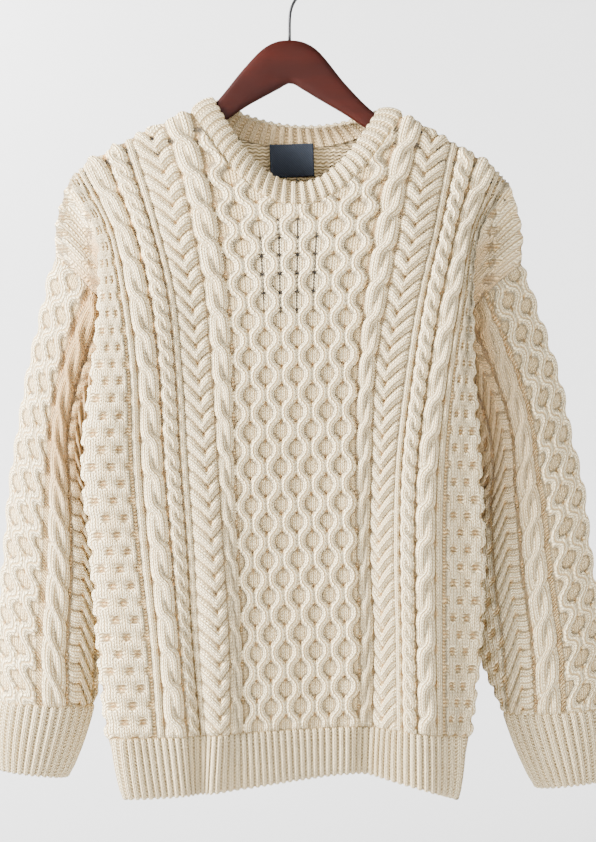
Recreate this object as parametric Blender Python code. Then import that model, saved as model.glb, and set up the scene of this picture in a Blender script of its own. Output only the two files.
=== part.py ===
"""A hand-framed cable-knit crewneck sweater hanging on a wooden hanger.

The origin is the top of the hook's inside, where a rail would carry it. +Z is
up, the front of the sweater faces -Y, and every size below is in millimetres.
"""

import math

import bmesh
import bpy
import numpy as np

MM = 0.001
SEAM_GAP = 0.3
SLEEVE_GAP = 1.5
WALL = 2.6
SEAM_WALL = 1.4
RELIEF = 2.6

# The cable chart, as distances from the centre of a body panel. Each cable
# and rope is a pair: where its middle lies, and its width.
HONEYCOMB_PITCH = 15.6
HONEYCOMB_STRANDS = 8
HONEYCOMB_PERIOD = 37.4
HONEYCOMB_EDGE = HONEYCOMB_PITCH * HONEYCOMB_STRANDS / 2.0
CABLE_PERIOD = 36.4
PLAIT_PERIOD = 17.7
ROPE_PERIOD = 17.2
BASKET_PITCH = 17.2
INNER_CABLE = (75.0, 17.0)
PLAIT_CENTRE = 95.0
PLAIT_ARMS = (11.0, 20.0)
NARROW_RIBS = (119.8, 170.5)
NARROW_RIB_HALF = 4.4
NARROW_RIB_HEIGHT = 0.75
ROPE = (132.5, 17.0)
OUTER_CABLE = (153.5, 25.0)
BASKET_START = 180.0
FOLD_CHART = 220.0
EDGE_CHART = 262.0

# Columns of the panel's mesh, from the edge of the honeycomb to the side seam.
SIDE_COLUMNS = (65.0, 75.0, 84.0, 95.0, 105.0, 115.5, 120.0, 132.5, 141.0, 153.5,
                166.0, 171.0, 190.0, 206.0, 220.0, 241.0, 262.0)
PANEL_ROWS = 40
LEVEL_Z = -430.0
LEVEL_T = 0.62
TOP_ROW_PASSES = 40
TOP_CROWDING = 1.5
INNER_ROWS = (0, 3, 6, 9, 12, 15, 18, 20, 21, 22, 23, 24, 26, 29, 32, 35, 37, 38, 39, 40)

# How far from the centre line each guide line of the chart lies, level by
# level: the folded edge, the two narrow ribs, the plait and the honeycomb's
# border on either side. The body leans, so its two halves differ.
GUIDE_CHART = (-220.0, -170.0, -119.5, -95.0, -62.4, 62.4, 95.0, 119.5, 170.0, 220.0)
GUIDE_LINES = (
    # z, fold, rib a, rib b, plait, border | border, plait, rib b, rib a, fold
    (-792, -183, -130, -87, -70, -46, 68, 95, 112, 151, 181),
    (-697, -192, -137, -95, -72, -48, 70, 96, 111, 150, 191),
    (-606, -199, -147, -100, -78, -52, 67, 92, 109, 150, 194),
    (-515, -207, -155, -107, -85, -55, 66, 94, 111, 153, 190),
    (-418, -197, -159, -113, -93, -57, 69, 99, 122, 164, 184),
    (-342, -191, -169, -121, -101, -62, 76, 114, 135, 176, 183),
    (-279, -197, -184, -137, -115, -71, 86, 127, 150, 188, 193),
    (-237, -221, -205, -150, -124, -80, 94, 134, 159, 207, 222),
    (-195, -250, -228, -164, -138, -91, 105, 144, 168, 224, 243),
)

# The shoulder line, over the hanger's arms.
SHOULDER_LINE = (
    # x, z
    (-262, -262),
    (-238, -236),
    (-222, -220),
    (-212, -210),
    (-190, -197),
    (-154, -177),
    (-129, -166),
    (-104, -156),
    (112, -159),
    (154, -179),
    (177, -192),
    (198, -205),
    (214, -217),
    (230, -234),
    (262, -270),
)
NECK_CENTRE = 7.0
NECK_HALF_WIDTH = 109.0
NECK_SIDE_Z = -157.0
NECK_FRONT_DROP = 97.0
NECK_BACK_DROP = 32.0
NECK_TILT = 1.5
NECK_CURVE = 2.1
BAND_HALF_WIDTH = 88.0
BAND_SIDE_Z = -143.0
BAND_TILT = 5.5
BAND_FRONT_DROP = 81.0
BAND_BACK_DROP = 20.0
BAND_FRONT_Y = 19.0
BAND_BACK_Y = 15.0

# Depth of the hanging body, from the plane of the hanger.
HANGER_CLEAR = 11.0
HANGER_ROUND = 13.0
DEPTH_DROP = 200.0
DEPTH_CHART = (0.0, 70.0, 95.0, 120.0, 170.0, 220.0)
FRONT_DEPTH = (44.0, 44.0, 44.0, 45.0, 47.0, 44.0)
BACK_DEPTH = (36.0, 36.0, 38.0, 41.0, 44.0, 44.0)

# The largest folds of the front: chart position, half width, how far it
# stands out, and the heights between which it grows from nothing.
FRONT_FOLDS = (
    (84.0, 24.0, -9.0, -430.0, -640.0),
    (148.0, 34.0, 7.0, -430.0, -660.0),
    (-84.0, 16.0, 7.0, -560.0, -760.0),
    (-112.0, 16.0, -6.0, -560.0, -760.0),
    (-150.0, 26.0, 5.0, -470.0, -700.0),
    (-200.0, 24.0, 5.0, -400.0, -470.0),
)
BACK_FOLDS = (
    (0.0, 40.0, 8.0, -380.0, -640.0),
    (-70.0, 26.0, -7.0, -420.0, -660.0),
    (70.0, 26.0, -7.0, -420.0, -660.0),
    (140.0, 30.0, 6.0, -430.0, -660.0),
    (-140.0, 30.0, 6.0, -430.0, -660.0),
)

# The bottom of the panels, where the ribbed welt begins, and the welt's end.
PANEL_BOTTOM = (
    # chart, z of the panel's bottom, z of the welt's bottom, x of the welt's bottom
    (-262.0, -796, -852, -132),
    (-220.0, -797, -856, -166),
    (-150.0, -795, -853, -118),
    (-100.0, -793, -850, -88),
    (-62.0, -791, -846, -47),
    (0.0, -788, -838, 12),
    (62.0, -786, -832, 67),
    (120.0, -789, -840, 112),
    (170.0, -793, -851, 151),
    (220.0, -795, -857, 170),
    (262.0, -794, -853, 136),
)

# Each sleeve as rings: the outer edge, the inner edge, how far the ring
# reaches to the front and back, and how far its middle leans to the body.
LEFT_RINGS = (
    # outer x, outer z, inner x, inner z, half depth, lean
    (-242, -304, -183, -473, 34, 38),
    (-249, -333, -192, -495, 34, 26),
    (-258, -373, -195, -519, 33, 13),
    (-269, -424, -196, -543, 33, 4),
    (-279, -485, -195, -567, 33, 0),
    (-287, -537, -194, -594, 33, 0),
    (-293, -612, -191, -645, 33, 0),
    (-300, -693, -196, -708, 33, 0),
    (-302, -765, -208, -770, 30, 0),
)
RIGHT_RINGS = (
    (239, -313, 168, -474, 34, 38),
    (250, -346, 178, -496, 34, 26),
    (263, -385, 184, -520, 33, 13),
    (278, -437, 189, -544, 33, 4),
    (288, -491, 190, -569, 33, 0),
    (300, -542, 190, -596, 33, 0),
    (308, -607, 192, -647, 33, 0),
    (319, -680, 199, -710, 33, 0),
    (327, -772, 226, -778, 30, 0),
)
LEFT_CUFF_END = (-304, -833, -233, -842, 22, 0)
RIGHT_CUFF_END = (329, -844, 257, -853, 22, 0)
UNDERARM_T = 0.55
SIDE_SEAM_INSET = 46.0
VALLEY_T = 0.80
VALLEY_DEPTH = 13.0
POCKET_X = 17.0
POCKET_Y = 12.0
RIB_RELIEF = 2.2
WELT_RIBS = 62
CUFF_RIBS = 30
NECK_RIBS = 48
NECK_CHORD = 2.0
SEAM_CHAMFER = 1.3
SLEEVE_COLUMNS = 16
SLEEVE_ROWS = 40
SEAM_FADE_ROWS = 4.0
SLEEVE_HONEYCOMB_PITCH = 17.6
SLEEVE_HONEYCOMB_PERIOD = 34.3
SLEEVE_HONEYCOMB_STRANDS = 6
SLEEVE_HONEYCOMB_EDGE = 0.5 * SLEEVE_HONEYCOMB_PITCH * SLEEVE_HONEYCOMB_STRANDS
SLEEVE_CABLE = (17.0, 26.0)
SLEEVE_PLAIT_CENTRE = 42.0
SLEEVE_PLAIT_ARMS = (11.0, 18.0)
SLEEVE_BASKET_START = 62.0

# The hanger's arms, from tip to tip.
HANGER_SECTIONS = (
    # x, top z, bottom z, thickness
    (-208, -214, -223, 7),
    (-200, -206, -224, 9),
    (-177, -191.5, -211, 11),
    (-154, -179.5, -201, 11),
    (-129, -171, -195, 11),
    (-104, -167, -188, 9),
    (-80, -147, -172, 11),
    (-45, -105, -151, 13),
    (-27, -87, -141, 14),
    (-12, -80, -133, 14),
    (0, -79, -128, 14),
    (14, -81, -133, 14),
    (28, -89, -141, 14),
    (58, -125, -158, 13),
    (87, -154, -176, 12),
    (108, -167, -188, 10),
    (135, -172.5, -196, 11),
    (154, -181.3, -202, 11),
    (177, -194.3, -213, 11),
    (197, -206.8, -224, 9),
    (205, -215, -224, 7),
)
# The hook: a wire of this radius bent to a ring of that radius.
HOOK_WIRE = 1.6
HOOK_RADIUS = 20.0
HOOK_STEM_X = -0.5
HOOK_STEM_BOTTOM = -78.7
HOOK_STEM_TOP = -55.0

LABEL_WIDTH = 46.0
LABEL_HEIGHT = 33.0
LABEL_CENTRE = (2.0, -202.0)
LABEL_TILT = 0.03
LABEL_THICKNESS = 0.9
LABEL_CLEAR = 0.6

MATERIALS = {
    # name: (red, green, blue, roughness, metallic)
    "wool": (0.80, 0.72, 0.57, 0.92, 0.0),
    "rib": (0.79, 0.71, 0.56, 0.92, 0.0),
    "label": (0.014, 0.020, 0.032, 0.80, 0.0),
    "mahogany": (0.085, 0.018, 0.012, 0.38, 0.0),
    "black_wire": (0.015, 0.015, 0.016, 0.35, 1.0),
}


def smooth_table(xs, ys, at):
    """Monotone cubic through a table's points, straight on beyond its ends.

    ys holds one table, or one for each place in `at` along its last axis.
    """
    xs = np.asarray(xs, float)
    at = np.asarray(at, float)
    ys = np.asarray(ys, float)
    if xs[0] > xs[-1]:
        xs = xs[::-1]
        ys = ys[..., ::-1]
    ys = np.broadcast_to(ys, at.shape + xs.shape)
    run = np.diff(xs)
    slope = np.diff(ys, axis=-1) / run
    before = slope[..., :-1]
    after = slope[..., 1:]
    mean = 0.5 * (before + after)
    limit = 3.0 * np.minimum(abs(before), abs(after))
    inner = np.where(before * after > 0.0, np.sign(mean) * np.minimum(abs(mean), limit), 0.0)
    tangent = np.concatenate([slope[..., :1], inner, slope[..., -1:]], -1)
    k = np.clip(np.searchsorted(xs, at) - 1, 0, len(run) - 1)
    t = np.clip((at - xs[k]) / run[k], 0.0, 1.0)
    here = np.take_along_axis(ys, k[..., None], -1)[..., 0]
    there = np.take_along_axis(ys, k[..., None] + 1, -1)[..., 0]
    leaving = np.take_along_axis(tangent, k[..., None], -1)[..., 0]
    arriving = np.take_along_axis(tangent, k[..., None] + 1, -1)[..., 0]
    value = (
        here * (1 + 2 * t) * (1 - t) ** 2
        + there * t * t * (3 - 2 * t)
        + run[k] * (leaving * t * (1 - t) ** 2 - arriving * t * t * (1 - t))
    )
    value = value + np.minimum(at - xs[0], 0.0) * tangent[..., 0]
    return value + np.maximum(at - xs[-1], 0.0) * tangent[..., -1]


def ease(t):
    """Smooth step from 0 to 1."""
    t = np.clip(t, 0.0, 1.0)
    return t * t * (3.0 - 2.0 * t)


def bump(t):
    """A rounded ridge: 1 at t = 0, nothing from t = -1 outwards and 1 outwards."""
    t = np.clip(abs(t), 0.0, 1.0)
    return 0.5 + 0.5 * np.cos(math.pi * t)


def strand(distance, half_width):
    """Round cross-section of one knitted strand."""
    t = np.clip(abs(distance) / half_width, 0.0, 1.0)
    return np.sqrt(1.0 - t * t)


def honeycomb(u, r, pitch, period, strands):
    """Interlaced strands that part and meet in rows of staggered cells."""
    height = np.full(np.shape(u), 0.12)
    wave = np.sin(2.0 * math.pi * r / period)
    wave = np.tanh(1.7 * wave) / math.tanh(1.7)
    for k in range(strands):
        side = 1.0 if k % 2 else -1.0
        line = (k - (strands - 1) / 2.0) * pitch + side * 0.36 * pitch * wave
        height = np.maximum(height, strand(u - line, 0.42 * pitch))
    return height


def rope(u, r, width, period, lean):
    """Two strands twisted round each other: a leaning ridge at each crossing."""
    across = np.clip(2.0 * u / width, -1.0, 1.0)
    phase = (r - lean * np.sin(0.5 * math.pi * across) * period * 0.5) / period
    ridge = np.sqrt(abs(np.sin(math.pi * phase)))
    return np.sqrt(1.0 - across ** 2) * (0.45 + 0.55 * ridge)


def plait(u, r, left, right, period):
    """Strands that lean down to the middle from both sides, in a row of V shapes."""
    across = np.where(u < 0.0, -u / left, u / right)
    inside = np.clip(1.0 - across, 0.0, 1.0)
    phase = r / period - 0.75 * across
    ridge = np.sqrt(abs(np.sin(math.pi * phase)))
    return np.minimum(1.0, 3.0 * inside) * (0.25 + 0.75 * ridge) * (across < 1.0)


def basket(u, r, pitch):
    """Blocks of plain knitting between staggered small pits."""
    wave = np.cos(2.0 * math.pi * u / pitch) * np.cos(math.pi * r / pitch)
    return 0.55 + 0.45 * wave


def panel_relief(u, r):
    """Height of the body's knitting, 0 to 1, at chart distance u and height r."""
    a = abs(u)
    height = np.where(
        a < HONEYCOMB_EDGE,
        honeycomb(u, r, HONEYCOMB_PITCH, HONEYCOMB_PERIOD, HONEYCOMB_STRANDS),
        0.0,
    )
    mirror = np.sign(u)
    height = np.maximum(height, rope(a - INNER_CABLE[0], r, INNER_CABLE[1], CABLE_PERIOD, 1.0))
    height = np.maximum(height, plait(PLAIT_CENTRE - a, r, *PLAIT_ARMS, PLAIT_PERIOD))
    height = np.maximum(height, rope((a - ROPE[0]) * mirror, r, ROPE[1], ROPE_PERIOD, 1.0))
    height = np.maximum(height, rope(a - OUTER_CABLE[0], r, OUTER_CABLE[1], CABLE_PERIOD, -1.0))
    for rib in NARROW_RIBS:
        height = np.maximum(height, strand(a - rib, NARROW_RIB_HALF) * NARROW_RIB_HEIGHT)
    side = basket(a - BASKET_START, r, BASKET_PITCH)
    return np.maximum(height, np.where(a > BASKET_START, side, 0.0))


def sleeve_relief(w, r):
    """Height of a sleeve's knitting at distance w round from its outer edge."""
    a = abs(w)
    edge = SLEEVE_HONEYCOMB_EDGE
    comb = honeycomb(w, r, SLEEVE_HONEYCOMB_PITCH, SLEEVE_HONEYCOMB_PERIOD,
                     SLEEVE_HONEYCOMB_STRANDS)
    height = np.where(a < edge, comb, 0.0)
    centre, width = SLEEVE_CABLE
    height = np.maximum(height, rope(a - edge - centre, r, width, SLEEVE_HONEYCOMB_PERIOD, 1.0))
    chevrons = plait(edge + SLEEVE_PLAIT_CENTRE - a, r, *SLEEVE_PLAIT_ARMS, PLAIT_PERIOD)
    height = np.maximum(height, chevrons)
    beyond = edge + SLEEVE_BASKET_START
    return np.maximum(height, np.where(a > beyond, basket(a - beyond, r, BASKET_PITCH), 0.0))


def shoulder_z(x):
    """Height of the shoulder line at x."""
    rows = np.array(SHOULDER_LINE, float)
    return smooth_table(rows[:, 0], rows[:, 1], x)


def upper_neck(theta):
    """The free edge of the neckband: theta 0 is the front, pi the back, pi/2 is +X."""
    level = abs(np.cos(theta))
    front = np.cos(theta) > 0.0
    x = NECK_CENTRE - 1.0 + BAND_HALF_WIDTH * np.sin(theta)
    y = np.where(front, -BAND_FRONT_Y, BAND_BACK_Y) * level ** 0.8
    drop = np.where(front, BAND_FRONT_DROP, BAND_BACK_DROP) * level ** NECK_CURVE
    z = BAND_SIDE_Z - drop - BAND_TILT * np.sin(theta)
    return np.stack([x, y, z], -1)


def neck_normal(theta):
    """Outward direction of the cloth along the neckline."""
    x = 0.25 * np.sin(theta)
    y = -0.95 * np.cos(theta)
    z = 0.22 + 0.78 * np.sin(theta) ** 2
    n = np.stack([x, y, z], -1)
    return n / np.linalg.norm(n, axis=-1, keepdims=True)


def outline_z(x, drop):
    """Height of a panel's top edge at x: the neckline, or the shoulder line."""
    across = np.clip((x - NECK_CENTRE) / NECK_HALF_WIDTH, -1.0, 1.0)
    curve = np.sqrt(1.0 - across ** 2) ** NECK_CURVE
    neck = NECK_SIDE_Z - drop * curve - NECK_TILT * across
    return np.where(abs(across) < 1.0, neck, shoulder_z(x))


def guide_x(u, z):
    """Where chart distance u lies across the body at height z."""
    rows = np.array(GUIDE_LINES, float)
    u, z = np.broadcast_arrays(np.asarray(u, float), np.asarray(z, float))
    lines = np.stack([smooth_table(rows[:, 0], rows[:, k + 1], z)
                      for k in range(len(GUIDE_CHART))], -1)
    return smooth_table(GUIDE_CHART, lines, u)


def bottom_row(u):
    """Height of the panel's bottom at chart distance u."""
    rows = np.array(PANEL_BOTTOM)
    return smooth_table(rows[:, 0], rows[:, 1], u)


def top_row(u, drop):
    """Height at which column u meets the neckline or the shoulder."""
    z = np.full(np.shape(u), -200.0)
    for _ in range(TOP_ROW_PASSES):
        z = 0.5 * z + 0.5 * outline_z(guide_x(u, z), drop)
    return z


def ring_point(ring, phi):
    """Point of a sleeve ring: phi 0 is its outer edge, pi the inner, pi/2 the front."""
    outer = np.array([ring[0], 0.0, ring[1]], float)
    inner = np.array([ring[2], 0.0, ring[3]], float)
    middle = 0.5 * (outer + inner)
    arm = 0.5 * (outer - inner)
    toward_body = math.copysign(ring[5], -ring[0])
    phi = np.asarray(phi, float)[..., None]
    across = np.sin(phi) * np.array([0.0, -ring[4], 0.0])
    lean = np.sin(phi) ** 2 * np.array([toward_body, 0.0, 0.0])
    return middle + arm * np.cos(phi) + across + lean


def ring_polygon(side, phi):
    """Armhole loop as the sleeve's flat-sided ring, so that both pieces share it."""
    rings = LEFT_RINGS if side < 0 else RIGHT_RINGS
    corners = np.linspace(0.0, 2.0 * math.pi, SLEEVE_COLUMNS + 1)
    points = ring_point(rings[0], corners)
    return np.stack([np.interp(phi, corners, points[:, k]) for k in range(3)], -1)


def body_depth(u, x, z, face):
    """Distance of the cloth from the hanger's plane, before the folds."""
    depth_row = FRONT_DEPTH if face < 0 else BACK_DEPTH
    full = smooth_table(DEPTH_CHART, depth_row, abs(u))
    across = (x - NECK_CENTRE) / NECK_HALF_WIDTH
    line = np.where(abs(across) < 1.0, NECK_SIDE_Z - NECK_TILT * across, shoulder_z(x))
    drop = np.maximum(line - z, 0.0)
    over = np.clip(1.0 - drop / HANGER_ROUND, 0.0, 1.0)
    near = HANGER_CLEAR * np.sqrt(1.0 - over ** 2)
    return near + full * ease(drop / DEPTH_DROP) ** 0.8


def fold_shift(u, z, face):
    """How far the folds push the cloth out from the body."""
    shift = np.zeros(np.shape(u))
    for centre, half, out, start, end in (FRONT_FOLDS if face < 0 else BACK_FOLDS):
        grown = ease((start - z) / (start - end))
        shift = shift + out * bump((u - centre) / (1.6 * half)) * grown
    return shift


def main_point(u, t, face):
    """Point of a body panel between its two folded edges, t from hem 0 to top 1."""
    drop = NECK_FRONT_DROP if face < 0 else NECK_BACK_DROP
    low = bottom_row(u)
    upper = 1.0 - np.clip((1.0 - t) / (1.0 - LEVEL_T), 0.0, 1.0) ** TOP_CROWDING
    z = low + np.clip(t / LEVEL_T, 0.0, 1.0) * (LEVEL_Z - low)
    z = np.where(t > LEVEL_T, LEVEL_Z + upper * (top_row(u, drop) - LEVEL_Z), z)
    x = guide_x(u, z)
    depth = body_depth(u, x, z, face) + fold_shift(u, z, face)
    return np.stack([x, face * depth, z], -1)


def armhole_phi(t):
    """Where row t of a panel lies on the armhole, from pi at the underarm to 0."""
    return math.pi * (1.0 - np.clip((t - UNDERARM_T) / (1.0 - UNDERARM_T), 0.0, 1.0))


def edge_point(side, t, face):
    """Point of the side seam, and above the underarm of the armhole's edge."""
    rings = LEFT_RINGS if side < 0 else RIGHT_RINGS
    ring = rings[0]
    low = bottom_row(side * EDGE_CHART)
    rise = t / UNDERARM_T
    z = low + rise * (ring[3] - low)
    fold_x = guide_x(side * FOLD_CHART, z)
    inset = SIDE_SEAM_INSET - 6.0 * ease((z + 700.0) / -90.0)
    seam_x = fold_x - side * inset
    near = ease((z - ring[3] + 14.0) / 14.0)
    seam_x = seam_x * (1.0 - near) + ring[2] * near
    seam = np.stack([seam_x, np.zeros_like(z), z], -1)
    loop = ring_polygon(side, armhole_phi(t))
    loop[..., 1] *= -face
    return np.where((t <= UNDERARM_T)[..., None], seam, loop)


def side_point(u, t, face):
    """Point of a panel between its folded edge and its side seam or armhole."""
    side = np.sign(u)
    q = (abs(u) - FOLD_CHART) / (EDGE_CHART - FOLD_CHART)
    fold = main_point(side * FOLD_CHART, t, face)
    left = edge_point(-1.0, t, face)
    right = edge_point(1.0, t, face)
    edge = np.where((side < 0)[..., None], left, right)
    point = fold * (1.0 - q[..., None]) + edge * q[..., None]
    upper = ease((t - VALLEY_T) / 0.10) * ease((1.0 - t) / 0.10)
    valley = VALLEY_DEPTH * np.sin(math.pi * np.clip(q * 1.5, 0.0, 1.0)) * upper
    pocket = np.sin(math.pi * q) * (1.0 - ease((t - VALLEY_T + 0.04) / 0.10))
    depth = face * point[..., 1]
    deepest = np.maximum(face * fold[..., 1] - 5.0, depth)
    depth = depth + np.minimum(POCKET_Y, deepest - depth) * pocket - valley
    point[..., 1] = face * depth
    point[..., 0] -= side * POCKET_X * pocket
    tip = ease((t - 0.8) / 0.2) * np.sin(math.pi * q)
    point[..., 0] += side * 5.0 * tip
    return point


def panel_surface(u, t, face):
    """Inner surface of a body panel on a grid of chart distances and rows."""
    middle = main_point(np.clip(u, -FOLD_CHART, FOLD_CHART), t, face)
    beyond = abs(u) > FOLD_CHART
    sides = side_point(np.where(beyond, u, FOLD_CHART), t, face)
    return np.where(beyond[..., None], sides, middle)


def grid_normals(points, wrap):
    """Unit normals of a grid of points, columns first turned onto rows."""
    if wrap:
        along = np.roll(points, -1, 1) - np.roll(points, 1, 1)
    else:
        along = np.gradient(points, axis=1)
    up = np.gradient(points, axis=0)
    normal = np.cross(along, up)
    return normal / np.maximum(np.linalg.norm(normal, axis=-1, keepdims=True), 1e-9)


def add_material(obj, key):
    """Gives the object a plain Principled material of its own."""
    red, green, blue, roughness, metallic = MATERIALS[key]
    material = bpy.data.materials.new(f"{obj.name}_{key}")
    material.use_nodes = True
    shader = material.node_tree.nodes["Principled BSDF"]
    shader.inputs["Base Color"].default_value = (red, green, blue, 1.0)
    shader.inputs["Roughness"].default_value = roughness
    shader.inputs["Metallic"].default_value = metallic
    material.diffuse_color = (red, green, blue, 1.0)
    obj.data.materials.append(material)


def finish_mesh(name, mesh_data, material, parent):
    """Turns the bmesh into a smooth-shaded object whose faces point out."""
    bmesh.ops.recalc_face_normals(mesh_data, faces=mesh_data.faces)
    if mesh_data.calc_volume(signed=True) < 0.0:
        bmesh.ops.reverse_faces(mesh_data, faces=mesh_data.faces)
    mesh = bpy.data.meshes.new(name)
    mesh_data.to_mesh(mesh)
    mesh_data.free()
    mesh.shade_smooth()
    mesh.set_sharp_from_angle(angle=math.radians(50.0))
    obj = bpy.data.objects.new(name, mesh)
    bpy.context.scene.collection.objects.link(obj)
    obj.parent = parent
    add_material(obj, material)
    return obj


def grid_faces(mesh_data, verts, wrap):
    """Faces of a grid of vertices, closed round when it wraps."""
    rows = len(verts)
    columns = len(verts[0])
    for i in range(rows - 1):
        for j in range(columns if wrap else columns - 1):
            k = (j + 1) % columns
            mesh_data.faces.new((verts[i][j], verts[i][k], verts[i + 1][k], verts[i + 1][j]))


def stitch(mesh_data, fine, coarse, stops):
    """Triangles between a fine edge and a coarse one, whose vertices stand at `stops`."""
    for s in range(len(coarse) - 1):
        for m in range(stops[s], stops[s + 1]):
            mesh_data.faces.new((coarse[s], fine[m], fine[m + 1]))
        mesh_data.faces.new((coarse[s], fine[stops[s + 1]], coarse[s + 1]))


def shell(name, outer, inner, picks, wrap, material, parent):
    """Closed shell between a fine outer grid and the picked rows and columns of an inner one."""
    mesh_data = bmesh.new()
    rows, columns = picks
    inner = inner[np.ix_(rows, columns)]
    outer_verts = [[mesh_data.verts.new(p * MM) for p in row] for row in outer]
    inner_verts = [[mesh_data.verts.new(p * MM) for p in row] for row in inner]
    grid_faces(mesh_data, outer_verts, wrap)
    grid_faces(mesh_data, inner_verts, wrap)
    for end in (0, -1):
        fine = list(outer_verts[end])
        coarse = list(inner_verts[end])
        stops = list(columns)
        if wrap:
            stops.append(len(fine))
            fine.append(fine[0])
            coarse.append(coarse[0])
        stitch(mesh_data, fine, coarse, stops)
    if not wrap:
        for end in (0, -1):
            fine = [row[end] for row in outer_verts]
            coarse = [row[end] for row in inner_verts]
            stitch(mesh_data, fine, coarse, rows)
    return finish_mesh(name, mesh_data, material, parent)


def panel_columns():
    """Chart distances of the panel's columns, from the left seam to the right."""
    comb = np.linspace(-HONEYCOMB_EDGE, HONEYCOMB_EDGE, 2 * HONEYCOMB_STRANDS + 1)
    side = np.array(SIDE_COLUMNS)
    return np.concatenate([-side[::-1], comb, side])


def edge_fade(t, u):
    """1 inside a panel, 0 at its seams, so that neighbours meet cleanly."""
    rows = ease(t / 0.012) * ease((1.0 - t) / 0.012)
    return rows * ease((EDGE_CHART - 12.0 - abs(u)) / 30.0)


def clear_of_plane(points, face):
    """Keeps a panel on its own side of the seams' plane."""
    half_gap = 0.5 * SEAM_GAP
    points[..., 1] = face * np.maximum(face * points[..., 1], half_gap)
    return points


def panel_grids(face):
    """Chart distances, rows, inner surface and outward directions of a body panel."""
    columns = panel_columns()
    u, t = np.meshgrid(columns, np.linspace(0.0, 1.0, PANEL_ROWS + 1))
    base = panel_surface(u, t, face)
    normal = grid_normals(base, False) * (-face)
    across = (base[-1, :, 0] - NECK_CENTRE) / NECK_HALF_WIDTH
    theta = np.arcsin(np.clip(across, -1.0, 1.0))
    rim = neck_normal(theta if face < 0 else math.pi - theta)
    normal[-1, 1:-1] = rim[1:-1]
    return u, t, base, normal


def armhole_rim(side):
    """Where the outer surfaces of body and sleeve meet, from each corner of the armhole."""
    corners = np.linspace(0.0, 2.0 * math.pi, SLEEVE_COLUMNS + 1)
    column = 0 if side < 0 else -1
    body = np.zeros((SLEEVE_COLUMNS + 1, 3))
    for face in (-1.0, 1.0):
        _, t, _, normal = panel_grids(face)
        above = t[:, 0] >= UNDERARM_T
        phi = armhole_phi(t[above, 0])
        edge = normal[above, column]
        place = corners if face < 0 else 2.0 * math.pi - corners
        on_face = place <= math.pi + 0.001
        order = np.argsort(phi)
        for k in range(3):
            found = np.interp(place[on_face], phi[order], edge[order, k])
            body[on_face, k] += found
    body[[0, SLEEVE_COLUMNS // 2, -1], 1] = 0.0
    body /= np.linalg.norm(body, axis=-1, keepdims=True)
    sleeve = sleeve_normals(sleeve_surface(side))[0]
    sleeve = np.concatenate([sleeve, sleeve[:1]])
    facing = (body * sleeve).sum(-1, keepdims=True)
    miter = (body + sleeve) / np.maximum(1.0 + facing, 0.45)
    return SEAM_WALL * miter


def make_panel(name, face, parent):
    """Front (face -1) or back (face +1) of the body."""
    u, t, base, normal = panel_grids(face)
    height = WALL + RELIEF * panel_relief(u, base[..., 2] - bottom_row(u)) * edge_fade(t, u)
    outer = base + normal * height[..., None]
    phi = armhole_phi(t[:, 0])
    phi = phi if face < 0 else 2.0 * math.pi - phi
    above = t[:, 0] >= UNDERARM_T
    corners = np.linspace(0.0, 2.0 * math.pi, SLEEVE_COLUMNS + 1)
    for side, column in ((-1.0, 0), (1.0, -1)):
        rim = armhole_rim(side)
        out = np.stack([np.interp(phi, corners, rim[:, k]) for k in range(3)], -1)
        outer[above, column] = (base[:, column] + out)[above]
    outer = clear_of_plane(outer, face)
    inner = clear_of_plane(base.copy(), face)
    in_neck = abs(base[-1, :, 0] - NECK_CENTRE) < NECK_HALF_WIDTH
    inner[-1, in_neck, 2] -= NECK_CHORD
    for column, beside in ((0, 1), (-1, -2)):
        away = base[:, beside] - base[:, column]
        away = away / np.linalg.norm(away, axis=-1, keepdims=True)
        inner[above, column] += (SEAM_CHAMFER * away)[above]
    last = len(u[0]) - 1
    columns = sorted({1, 3, last - 3, last - 1} | set(range(0, last + 1, 2)))
    return shell(name, outer, inner, (INNER_ROWS, columns), False, "wool", parent)


def make_sleeve(name, side, parent):
    """One sleeve, from the armhole seam to the cuff."""
    base = sleeve_surface(side)
    normal = sleeve_normals(base)
    rows, columns = base.shape[:2]
    phi = np.arange(columns) * 2.0 * math.pi / columns
    span = np.linalg.norm(np.roll(base, -1, 1) - base, axis=-1).sum(1, keepdims=True)
    around = np.where(phi > math.pi, phi - 2.0 * math.pi, phi)
    w = around / (2.0 * math.pi) * span
    steps = np.linalg.norm(np.diff(base[:, 0], axis=0), axis=-1)
    r = np.concatenate([[0.0], np.cumsum(steps)])[:, None] + np.zeros_like(w)
    row = np.arange(rows)[:, None]
    fade = ease(row / SEAM_FADE_ROWS) * ease(rows - 1.0 - row)
    out = normal * (WALL + RELIEF * sleeve_relief(w, r) * fade)[..., None]
    miter = armhole_rim(side)[:-1]
    near = (1.0 - ease(row / SEAM_FADE_ROWS))[..., None]
    outer = base + out * (1.0 - near) + miter * near
    picks = ([0, 2, 5] + list(range(10, rows, 6)), list(range(columns)))
    inner = base.copy()
    away = base[1] - base[0]
    inner[0] += SEAM_CHAMFER * away / np.linalg.norm(away, axis=-1, keepdims=True)
    return shell(name, outer, inner, picks, True, "wool", parent)


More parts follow.
